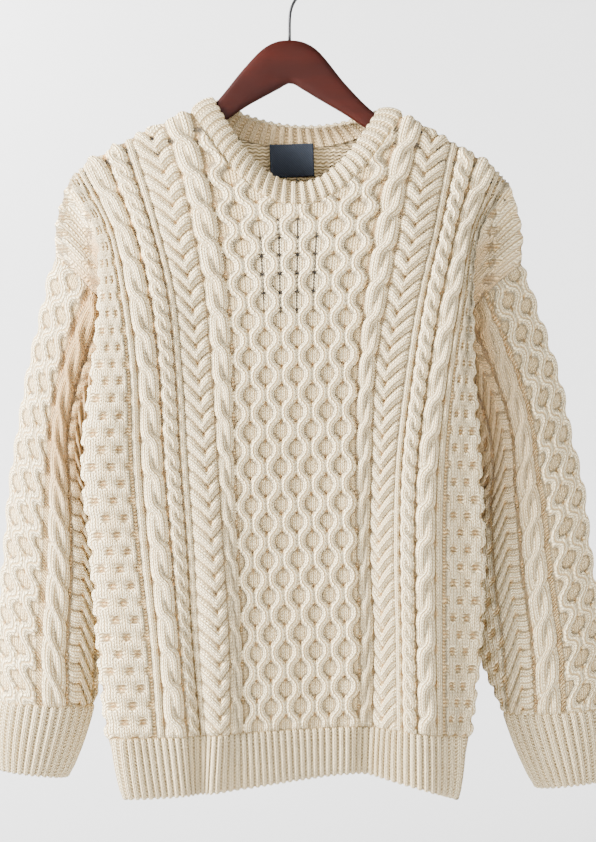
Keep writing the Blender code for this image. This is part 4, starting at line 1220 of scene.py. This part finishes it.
@dataclass(frozen=True)
class RibStitch:
    """Rib of two knitted columns and two purl ones."""

    crest: float
    wide: float
    floor: float = 0.5
    bar_height: float = 0.12
    bar_pitch: float = 3.1
    parting: float = 0.35
    groove_shade: float = 0.42
    parting_shade: float = 0.12

    def over(self, place: Array, along: Array, side: float) -> Knit:
        """Ribs over a band.

        Args:
            place: Count of ribs round the band.
            along: Distance along the ribs.
            side: 1 for the outside, -1 for the inside, where crests and grooves swap.

        Returns:
            The stitches.
        """
        place, along = np.broadcast_arrays(place, along)
        shift = 0.0 if side > 0.0 else 0.5
        p = (place + shift + 0.5) % 1.0 - 0.5
        knit = Knit(place, along)
        wide, purl = self.wide, abs(p) > self.wide
        rise = dome(p / wide, 0.55)
        bars = self.bar_height * np.cos(2.0 * math.pi * along / self.bar_pitch)
        knit.height = self.floor + (self.crest - self.floor) * rise
        knit.height = knit.height + bars * purl - self.parting * bump(p / 0.10)
        knit.wale = p / wide + 1.0
        knit.purl = np.where(purl, 1.0, 0.0)
        knit.gap = self.groove_shade * ramp(abs(p), wide - 0.12, wide + 0.04)
        knit.gap = knit.gap + self.parting_shade * bump(p / 0.08)
        return knit


def even_ribs(length: Array, ribs: int, per_rib: int) -> tuple[Array, Array]:
    """Spaces ribs evenly along a line.

    Args:
        length: Distance along the line of each of its points.
        ribs: How many ribs lie along it.
        per_rib: Steps over each rib.

    Returns:
        The distance of each step, and its count of ribs.
    """
    at = np.linspace(0.0, length[-1], ribs * per_rib + 1)
    return at, at / length[-1] * ribs


@dataclass(frozen=True)
class RibbedBand:
    """Ribs that run down from an edge, round the band's own end and up its inside."""

    rows: tuple
    start: float
    tucked: float
    swell: float
    # Weight of painted warm glow over the lining.
    inside: float
    rib: RibStitch = RibStitch(crest=4.0, wide=0.375)
    wall: float = 1.5
    pressed: float = 0.30
    sag: tuple = (0.0, 0.0, -0.9)
    # Share of its height and its shade where it starts behind the edge.
    thin: float = 0.45
    tuck_shade: float = 0.55
    # How thick the lining is, and how much of its ribs stands out.
    lining: float = 0.4
    lining_rib: float = 0.3

    def layer(self, top: Array, end: Array, out: Array, place: Array) -> Layer:
        """Cloth of the band between two lines.

        Args:
            top: The edge that it hangs from.
            end: Its lower end.
            out: Direction out of the cloth at each point of the lines.
            place: Count of ribs at each point.

        Returns:
            The cloth, closed by its first row again.
        """
        length = np.linalg.norm(end - top, axis=-1)
        outer, lip, inner = self.rows
        v = np.linspace(-self.start, 1.0, outer + 1)[:, None]
        swell = self.swell * np.sin(math.pi * np.clip(v, 0.0, 1.0))
        middle = between(top, end, v) + swell[..., None] * out
        ribbed = self.rib.over(place, v * length, 1.0)
        tuck = ease((v + self.start) / self.tucked)
        pressed = 1.0 - self.pressed * ramp(v, 0.86, 1.0)
        rise = (self.wall + ribbed.height * pressed) * (self.thin + (1.0 - self.thin) * tuck)
        ribbed.gap = np.maximum(ribbed.gap, self.tuck_shade * (1.0 - tuck))
        front = Layer.of(middle + out * rise[..., None], ribbed)
        angle = np.linspace(0.0, math.pi, lip + 1)[1:-1, None]
        radius = rise[-1][None] * (0.55 + 0.45 * np.cos(0.5 * angle) ** 2)
        turned = (middle[-1][None] + out * (radius * np.cos(angle))[..., None]
                  + np.array(self.sag) * (radius * np.sin(angle))[..., None])
        bend = self.rib.over(place, length + 3.0 * angle, 1.0)
        # Painted shade growing round the turned end.
        bend.gap = bend.gap + 0.25 * angle / math.pi
        v = np.linspace(1.0, -self.start, inner + 1)[:, None]
        back = self.rib.over(place, v * length, -1.0)
        depth = self.lining + self.lining_rib * back.height * ramp(v, 1.0, 0.9)
        lining = Layer.of(between(top, end, v) - out * depth[..., None], back, self.inside)
        return Layer.join(front, Layer.of(turned, bend), lining, front.first())


@dataclass
class Welt:
    """Ribbed hem under one panel, with a rounded lower edge."""

    face: Face
    pitch: float = 6.6
    per_rib: int = 10
    samples: int = 900
    band: RibbedBand = RibbedBand(rows=(24, 6, 12), start=0.02, tucked=0.05, swell=1.2,
                                  inside=0.5)

    def build(self, yarn: Material) -> Piece:
        """Makes the hem."""
        dense = np.linspace(-FORM.edge_chart, FORM.edge_chart, self.samples)
        top = FORM.panel(dense, np.zeros(1), self.face)[0]
        q = np.clip((abs(dense) - FORM.fold_chart) / 42.0, 0.0, 1.0)
        end = np.stack([FORM.low(dense, 3), top[:, 1] * (1.0 - 0.06 * (1.0 - q)),
                        FORM.low(dense, 2)], -1)
        length = arc_length(0.5 * (top + end))
        at, place = even_ribs(length, int(round(length[-1] / self.pitch)), self.per_rib)
        top, end = (np.stack([np.interp(at, length, rim[:, k]) for k in range(3)], -1)
                    for rim in (top, end))
        out = np.cross(np.gradient(top, axis=0), end - top)
        out[:, 2] = 0.0
        out = np.stack([blur(out[None, :, k], 0, 40)[0] for k in range(3)], -1)
        out *= np.sign(out[:, 1:2] * self.face.value + 1e-9)
        out /= np.linalg.norm(out, axis=-1, keepdims=True)
        whole = self.band.layer(top, end, out, place)
        whole.keep_beside(self.face)
        name = self.face.name.lower()
        piece = rolled(f"hem_{name}", whole, yarn, f"welt_{name}")
        return piece


@dataclass
class Sleeve:
    """One sleeve with its ribbed cuff."""

    side: Side
    columns: int = 208
    rows: int = 200
    inner_rows: int = 30
    wall: float = 1.0
    lining: float = 0.6
    waviness: float = 1.2
    ribs: int = 30
    per_rib: int = 10
    samples: int = 721
    band: RibbedBand = RibbedBand(rows=(28, 6, 12), start=0.03, tucked=0.06, swell=2.0,
                                  inside=0.6)

    @property
    def name(self) -> str:
        """Left or right, as in the names of the solids."""
        return self.side.name.lower()

    def glow(self, base: Array, around: Array, normal: Array) -> Array:
        """Warm light on the side toward the body and in the hollow there, from 0 to 1."""
        sign = self.side.value
        z = base[..., 2]
        inward = ease(0.35 - 1.1 * sign * normal[..., 0])
        shaded = 0.32 * ramp(abs(around), 50.0, 64.0) + 0.55 * inward
        shaded = shaded * ramp(z, -692.0, -432.0) * ramp(z, -240.0, -350.0)
        beside = sign * (base[..., 0] - FORM.guide_x(240.0 * sign, z))
        reach = 10.0 + 24.0 * ramp(z, -260.0, -410.0)
        valley = ramp(beside, reach, reach - 24.0) * ramp(z, -235.0, -315.0)
        weight = 0.95 if self.side is Side.LEFT else 0.7
        return np.maximum(shaded, weight * valley * ramp(z, -650.0, -460.0))

    def build_arm(self, yarn: Material) -> Piece:
        """Makes the cabled tube."""
        form = SLEEVES[self.side]
        base, around, down = form.surface(self.rows, self.columns)
        middle = base[:, :-1].mean(1, keepdims=True)
        normal = grid_normals(base, True, 3)
        normal *= np.sign((normal * (base - middle)).sum(-1).mean())
        knit = CHART.sleeve(around, down, form.crossing)
        knit.settle(4, 4)
        start = ease(down / 9.0)
        end = ease((self.rows - np.arange(self.rows + 1)) / 3.0)[:, None]
        wave = self.waviness * unevenness(around, down, 4.0 + self.side.value) * ease(down / 60.0)
        height = self.wall + knit.height * (0.2 + 0.8 * start) * (0.35 + 0.65 * end) + wave
        outer = Layer.of(base + normal * height[..., None], knit,
                         self.glow(base, around, normal))
        pick = np.linspace(self.rows, 0, self.inner_rows + 1).astype(int)
        rough = Knit(around[pick], down[pick])
        # The lining gets full painted warm glow.
        inner = Layer.of(base[pick] - normal[pick] * self.lining, rough, 1.0)
        name = f"sleeve_{self.name}"
        whole = Layer.join(outer, inner, outer.first())
        piece = rolled(f"knit_{name}", whole, yarn, name)
        return piece

    def build_cuff(self, yarn: Material) -> Piece:
        """Makes the ribbed cuff with its rounded end."""
        form = SLEEVES[self.side]
        dense = np.linspace(-math.pi, math.pi, self.samples)
        top = ring_point(form.rings[-1], dense)
        length = arc_length(0.4 * top + 0.6 * ring_point(form.cuff_end, dense))
        at, place = even_ribs(length, self.ribs, self.per_rib)
        phi = np.interp(at, length, dense)
        out = np.stack([np.cos(phi) * self.side.value, -np.sin(phi), 0.0 * phi], -1)
        whole = self.band.layer(ring_point(form.rings[-1], phi),
                                ring_point(form.cuff_end, phi), out, place)
        name = f"cuff_{self.name}"
        piece = rolled(f"ribbed_{name}", whole, yarn, name)
        f"sleeve_{self.name}"
        return piece


@dataclass
class Neckband:
    """Ribbed crew neck, knitted up from the neckline to a soft rolled edge."""

    ribs: int = 52
    per_rib: int = 14
    rows: tuple = (18, 8, 14)
    half_width: float = 88.0
    side_z: float = -148.5
    tilt: float = 5.5
    drops: tuple = (83.0, 20.0)
    depths: tuple = (19.0, 15.0)
    bulge: float = 2.5
    start: float = 0.04
    samples: int = 2881
    wall: float = 1.7
    tucked: float = 0.12
    # Share of its height and its shade where it starts at the neckline.
    thin: float = 0.35
    tuck_shade: float = 0.45
    # How thick the lining is, and how much of its ribs stands out.
    lining: float = 0.6
    lining_rib: float = 0.75
    lip_radius: float = 2.6
    # Weight of painted warm glow over the lining.
    inside: float = 0.45
    rib: RibStitch = RibStitch(crest=3.4, wide=0.29)

    def lower(self, theta: Array) -> Array:
        """The neckline: theta 0 is the front, pi the back, pi/2 is +X."""
        across = np.sin(theta)
        front = np.cos(theta) > 0.0
        x = FORM.neck_centre + FORM.neck_half * across
        curve = np.maximum(1.0 - across ** 2, 0.0) ** (0.5 * FORM.neck_curve)
        drop = np.where(front, *FORM.neck_drops)
        z = FORM.neck_z - drop * curve - FORM.neck_tilt * across
        level = np.zeros_like(x)
        y = np.where(front, -FORM.depth(level, x, z, Face.FRONT),
                     FORM.depth(level, x, z, Face.BACK))
        return np.stack([x, y, z], -1)

    def upper(self, theta: Array) -> Array:
        """The free edge of the band."""
        level = abs(np.cos(theta))
        front = np.cos(theta) > 0.0
        x = FORM.neck_centre - 1.0 + self.half_width * np.sin(theta)
        y = np.where(front, -self.depths[0], self.depths[1]) * level ** 0.8
        drop = np.where(front, *self.drops) * level ** FORM.neck_curve
        z = self.side_z - drop - self.tilt * np.sin(theta)
        return np.stack([x, y, z], -1)

    @staticmethod
    def outward(theta: Array) -> Array:
        """Outward direction of the cloth along the neckline."""
        n = np.stack([0.25 * np.sin(theta), -0.95 * np.cos(theta),
                      0.22 + 0.78 * np.sin(theta) ** 2], -1)
        return n / np.linalg.norm(n, axis=-1, keepdims=True)

    def swell(self, v: Array) -> Array:
        """How far the cloth bulges, v being 0 at the neckline and 1 at the free edge."""
        return self.bulge * np.sin(math.pi * np.clip(v, 0.0, 1.0)) ** 0.8

    def build(self, yarn: Material) -> Piece:
        """Makes the band, its ribs evenly spaced round it."""
        dense = np.linspace(0.5 * math.pi, 2.5 * math.pi, self.samples)
        length = arc_length(0.5 * (self.lower(dense) + self.upper(dense)))
        at, place = even_ribs(length, self.ribs, self.per_rib)
        theta = np.interp(at, length, dense)
        low, high, out = self.lower(theta), self.upper(theta), self.outward(theta)
        low[-1], high[-1], out[-1] = low[0], high[0], out[0]
        up = high - low
        span = np.linalg.norm(up, axis=-1)
        up = up / span[:, None]
        outer, lip, inner = self.rows
        v = np.linspace(-self.start, 1.0, outer + 1)[:, None]
        ribbed = self.rib.over(place, v * span, 1.0)
        tuck = ease((v + self.start) / self.tucked)
        rise = (self.wall + ribbed.height) * (self.thin + (1.0 - self.thin) * tuck)
        ribbed.gap = np.maximum(ribbed.gap, self.tuck_shade * (1.0 - tuck))
        core = low[None] + (v * span)[..., None] * up
        front = Layer.of(core + out * (self.swell(v) + rise)[..., None], ribbed)
        angle = np.linspace(0.0, math.pi, lip + 1)[1:-1, None]
        bend = self.rib.over(place, span + 3.2 * angle, 1.0)
        radius = rise[-1][None] * np.cos(0.5 * angle) ** 2
        radius = radius + self.lip_radius * np.sin(0.5 * angle) ** 2
        turned = (high[None] + out * (radius * np.cos(angle))[..., None]
                  + up * (radius * np.sin(angle))[..., None])
        v = np.linspace(1.0, -self.start, inner + 1)[:, None]
        back = self.rib.over(place, v * span, -1.0)
        depth = self.lining + self.lining_rib * back.height - self.swell(v)
        core = low[None] + (v * span)[..., None] * up
        lining = Layer.of(core - out * depth[..., None], back, self.inside)
        whole = Layer.join(front, Layer.of(turned, bend), lining, front.first())
        piece = rolled("crew_neckband", whole, yarn, "neckband")
        return piece


@dataclass
class Label:
    """Bare woven label inside the back of the neck, with the ends of its sewing thread."""

    width: float = 46.0
    height: float = 33.0
    centre: tuple = (2.0, -202.0)
    tilt: float = 0.03
    thickness: float = 0.8
    clear: float = 4.2
    # x, top z, drop, lean
    threads: tuple = ((-4.0, -216.0, -11.0, 0.8), (7.3, -217.0, -12.0, -0.6))
    thread_radius: float = 0.45
    thread_lift: float = 1.6

    def back_y(self, x: float, z: float) -> float:
        """Depth of the cloth behind the label."""
        x, z = np.array(x), np.array(z)
        return float(FORM.depth(np.zeros_like(x), x, z, Face.BACK)) - self.clear

    def build(self, ribbon: Material) -> Piece:
        """Makes the label and its two thread ends as one piece."""
        mesh_data = bmesh.new()
        flat_grid(mesh_data, 24, 18, 0.0)
        for vert in mesh_data.verts:
            dx, dz = vert.co.x * self.width, vert.co.y * self.height
            x = self.centre[0] + dx - self.tilt * dz
            z = self.centre[1] + dz + self.tilt * dx
            curl = 0.9 * (2.0 * abs(vert.co.x)) ** 6 - 0.5 * math.cos(5.0 * vert.co.x)
            y = self.back_y(x, z) - curl
            vert.co = (x * MM, y * MM, z * MM)
        bmesh.ops.solidify(mesh_data, geom=mesh_data.faces[:], thickness=self.thickness * MM)
        for x, z, drop, lean in self.threads:
            made = bmesh.ops.create_cone(mesh_data, cap_ends=True, segments=8,
                                         radius1=self.thread_radius * MM * 0.8,
                                         radius2=self.thread_radius * MM,
                                         depth=abs(drop) * MM)
            bmesh.ops.translate(mesh_data, verts=made["verts"],
                                vec=((x + 0.5 * lean) * MM,
                                     (self.back_y(x, z) - self.thread_lift) * MM,
                                     (z + 0.5 * drop) * MM))
        return finish("neck_label", mesh_data, ribbon, "label")


@dataclass
class Hanger:
    """Shaped wooden arms and a wire hook."""

    # x, top z, bottom z, thickness
    sections: tuple = (
        (-208, -214, -223, 7), (-200, -206, -224, 9), (-177, -191.5, -211, 11),
        (-154, -179.5, -201, 11), (-129, -171, -195, 11), (-104, -167, -188, 9),
        (-80, -147, -172, 11), (-45, -105, -148, 13), (-27, -87, -138, 14),
        (-12, -80, -130, 14), (0, -79, -124, 14), (14, -81, -131, 14),
        (28, -89, -139.5, 14), (58, -125, -157, 13), (87, -154, -176, 12),
        (108, -167, -188, 10), (135, -172.5, -196, 11), (154, -181.3, -202, 11),
        (177, -194.3, -213, 11), (197, -206.8, -224, 9), (205, -215, -224, 7),
    )
    steps: int = 88
    around: int = 24
    squareness: float = 0.62
    wire: float = 1.6
    wire_around: int = 16
    ring: float = 20.0
    ring_ends: tuple = (-38.0, 190.0)
    # x, bottom z, top z
    stem: tuple = (-0.5, -81.0, -55.0)

    def build_arms(self, wood: Material) -> Piece:
        """Sweeps a rounded section along the arms."""
        xs = np.linspace(self.sections[0][0], self.sections[-1][0], self.steps + 1)
        tops, bottoms, thick = (table_column(self.sections, k, xs) for k in (1, 2, 3))
        mesh_data = bmesh.new()
        rings = []
        for x, top, bottom, wide in zip(xs, tops, bottoms, thick):
            made = bmesh.ops.create_circle(mesh_data, segments=self.around, radius=1.0)
            for vert in made["verts"]:
                c, s = vert.co.x, vert.co.y
                y = math.copysign(abs(c) ** self.squareness, c) * 0.5 * wide
                z = math.copysign(abs(s) ** self.squareness, s) * 0.5 * (top - bottom)
                vert.co = (x * MM, y * MM, (0.5 * (top + bottom) + z) * MM)
            rings.append(made["verts"])
        for first, second in zip(rings, rings[1:]):
            near = {edge for vert in first + second for edge in vert.link_edges
                    if edge.other_vert(vert) in first or edge.other_vert(vert) in second}
            loops = [edge for edge in near if len({v in first for v in edge.verts}) == 1]
            bmesh.ops.bridge_loops(mesh_data, edges=loops)
        bmesh.ops.holes_fill(mesh_data, edges=open_edges(mesh_data), sides=0)
        return finish("hanger_arms", mesh_data, wood, "hanger")

    def hook_path(self) -> list:
        """Centre line of the hook, from the wood up and round to its open end."""
        stem_x, bottom, top = self.stem
        centre_z = -(self.ring - self.wire)
        start, end = map(math.radians, self.ring_ends)
        ring_x = self.ring * math.cos(start)
        ring_z = centre_z + self.ring * math.sin(start)
        points = [(stem_x, z) for z in np.linspace(bottom, top, 5)]
        for s in np.linspace(0.1, 0.9, 9):
            points.append((stem_x + (ring_x - stem_x) * s ** 1.5,
                           top + (ring_z - top) * math.sin(0.5 * math.pi * s) ** 0.9))
        for angle in np.linspace(start, end, 56):
            points.append((self.ring * math.cos(angle), centre_z + self.ring * math.sin(angle)))
        return points

    def build_hook(self, finish_wire: Material) -> Piece:
        """Bends a round wire along the hook's path."""
        path = np.array(self.hook_path())
        for _ in range(2):
            path[1:-1] = 0.25 * path[:-2] + 0.5 * path[1:-1] + 0.25 * path[2:]
        mesh_data = bmesh.new()
        made = bmesh.ops.create_circle(mesh_data, segments=self.wire_around,
                                       radius=self.wire * MM)
        ring = made["verts"]
        edges = list({edge for vert in ring for edge in vert.link_edges})
        bmesh.ops.translate(mesh_data, verts=ring, vec=(path[0][0] * MM, 0.0, path[0][1] * MM))
        for before, after in zip(path, path[1:]):
            made = bmesh.ops.extrude_edge_only(mesh_data, edges=edges)
            ring = [item for item in made["geom"] if isinstance(item, bmesh.types.BMVert)]
            edges = [item for item in made["geom"] if isinstance(item, bmesh.types.BMEdge)
                     and all(vert in ring for vert in item.verts)]
            step = (after - before) * MM
            bmesh.ops.translate(mesh_data, verts=ring, vec=(step[0], 0.0, step[1]))
        ordered = list(mesh_data.verts)
        tangent = np.gradient(path, axis=0)
        for k, (x, z) in enumerate(path):
            angle = math.atan2(tangent[k][0], tangent[k][1])
            for vert in ordered[self.wire_around * k:self.wire_around * (k + 1)]:
                flat = (vert.co.x / MM - x, vert.co.y / MM)
                vert.co = ((x + flat[0] * math.cos(angle)) * MM, flat[1] * MM,
                           (z - flat[0] * math.sin(angle)) * MM)
        bmesh.ops.holes_fill(mesh_data, edges=open_edges(mesh_data), sides=0)
        return finish("hook_wire", mesh_data, finish_wire, "hanger_hook")


@dataclass
class Studio:
    """Plain pale surround, soft light, and the camera in front of the sweater."""

    floor_z: float = -1.30
    radius: float = 3.2
    height: float = 3.4
    bend: float = 1.2
    tone: float = 0.60
    camera_back: float = 2.2
    aim: tuple = (0.0083, -0.475)
    half_height: float = 0.4379
    air: float = 0.44
    # name, place, what it points at, size, power
    lights: tuple = (
        ("key", (-2.6, -0.85, 0.55), (0.0, 0.0, -0.45), 1.1, 790.0),
        ("fill", (1.6, -2.2, -0.1), (0.0, 0.0, -0.5), 2.0, 20.0),
        ("rear", (0.6, 2.1, 0.9), (0.0, 0.0, -0.4), 2.0, 40.0),
        ("wall", (-1.5, 2.1, 0.9), (-1.0, 3.2, 0.4), 0.8, 110.0),
    )

    def build_surround(self) -> None:
        """Spins a floor that curves up into a wall all round."""
        mesh_data = bmesh.new()
        bend = self.bend
        profile = [(0.0, 0.0), (self.radius - bend, 0.0)]
        for k in range(1, 9):
            angle = 0.5 * math.pi * k / 8.0
            profile.append((self.radius - bend + bend * math.sin(angle),
                            bend - bend * math.cos(angle)))
        profile.append((self.radius, self.height))
        verts = [mesh_data.verts.new((x, 0.0, z + self.floor_z)) for x, z in profile]
        edges = [mesh_data.edges.new(pair) for pair in zip(verts, verts[1:])]
        bmesh.ops.spin(mesh_data, geom=verts + edges, cent=(0.0, 0.0, 0.0),
                       axis=(0.0, 0.0, 1.0), angle=2.0 * math.pi, steps=64, use_merge=True)
        bmesh.ops.remove_doubles(mesh_data, verts=mesh_data.verts, dist=1e-5)
        bmesh.ops.recalc_face_normals(mesh_data, faces=mesh_data.faces)
        mesh = bpy.data.meshes.new("surround")
        mesh_data.to_mesh(mesh)
        mesh_data.free()
        mesh.shade_smooth()
        mesh.materials.append(Surface("pale_paper").shade({
            "Base Color": (self.tone, self.tone, self.tone, 1.0), "Roughness": 1.0,
            "Specular IOR Level": 0.0}))
        link("surround", mesh)

    @staticmethod
    def add_light(name: str, place: tuple, aim: tuple, size: float, power: float) -> None:
        """Adds one soft square light."""
        data = bpy.data.lights.new(name, "AREA")
        data.shape = "SQUARE"
        data.size = size
        data.energy = power
        lamp = link(name, data)
        lamp.location = place
        way = bpy.context.scene.cursor.location.copy()
        way.x, way.y, way.z = (b - a for a, b in zip(place, aim))
        lamp.rotation_euler = way.to_track_quat("-Z", "Y").to_euler()

    def build(self) -> None:
        """Sets the surround, the lights, the air and the camera."""
        self.build_surround()
        for light in self.lights:
            self.add_light(*light)
        world = bpy.data.worlds.new("pale_air")
        world.use_nodes = True
        air = world.node_tree.nodes["Background"]
        air.inputs["Color"].default_value = (1.0, 1.0, 1.0, 1.0)
        air.inputs["Strength"].default_value = self.air
        bpy.context.scene.world = world
        lens = bpy.data.cameras.new("view")
        lens.sensor_fit = "VERTICAL"
        lens.angle = 2.0 * math.atan(self.half_height / self.camera_back)
        camera = link("view", lens)
        camera.location = (self.aim[0], -self.camera_back, self.aim[1])
        camera.rotation_euler = (0.5 * math.pi, 0.0, 0.0)
        bpy.context.scene.camera = camera


def main() -> None:
    """Builds the surround, then the sweater from the shoulders down, then its hanger."""
    logging.basicConfig(level=logging.INFO)
    Studio().build()
    loops = stitch_group()
    body_yarn = YarnFinish("fisherman_wool").make(loops)
    rib_yarn = YarnFinish("fisherman_wool_rib").make(loops)
    for face in Face:
        BodyPanel(face).build(body_yarn)
        Welt(face).build(rib_yarn)
    for side in Side:
        sleeve = Sleeve(side)
        sleeve.build_arm(body_yarn)
        sleeve.build_cuff(rib_yarn)
    Neckband().build(rib_yarn)
    Label().build(RibbonFinish().make())
    hanger = Hanger()
    hanger.build_arms(WoodFinish().make())
    hanger.build_hook(WireFinish().make())


if __name__ == "__main__":
    main()
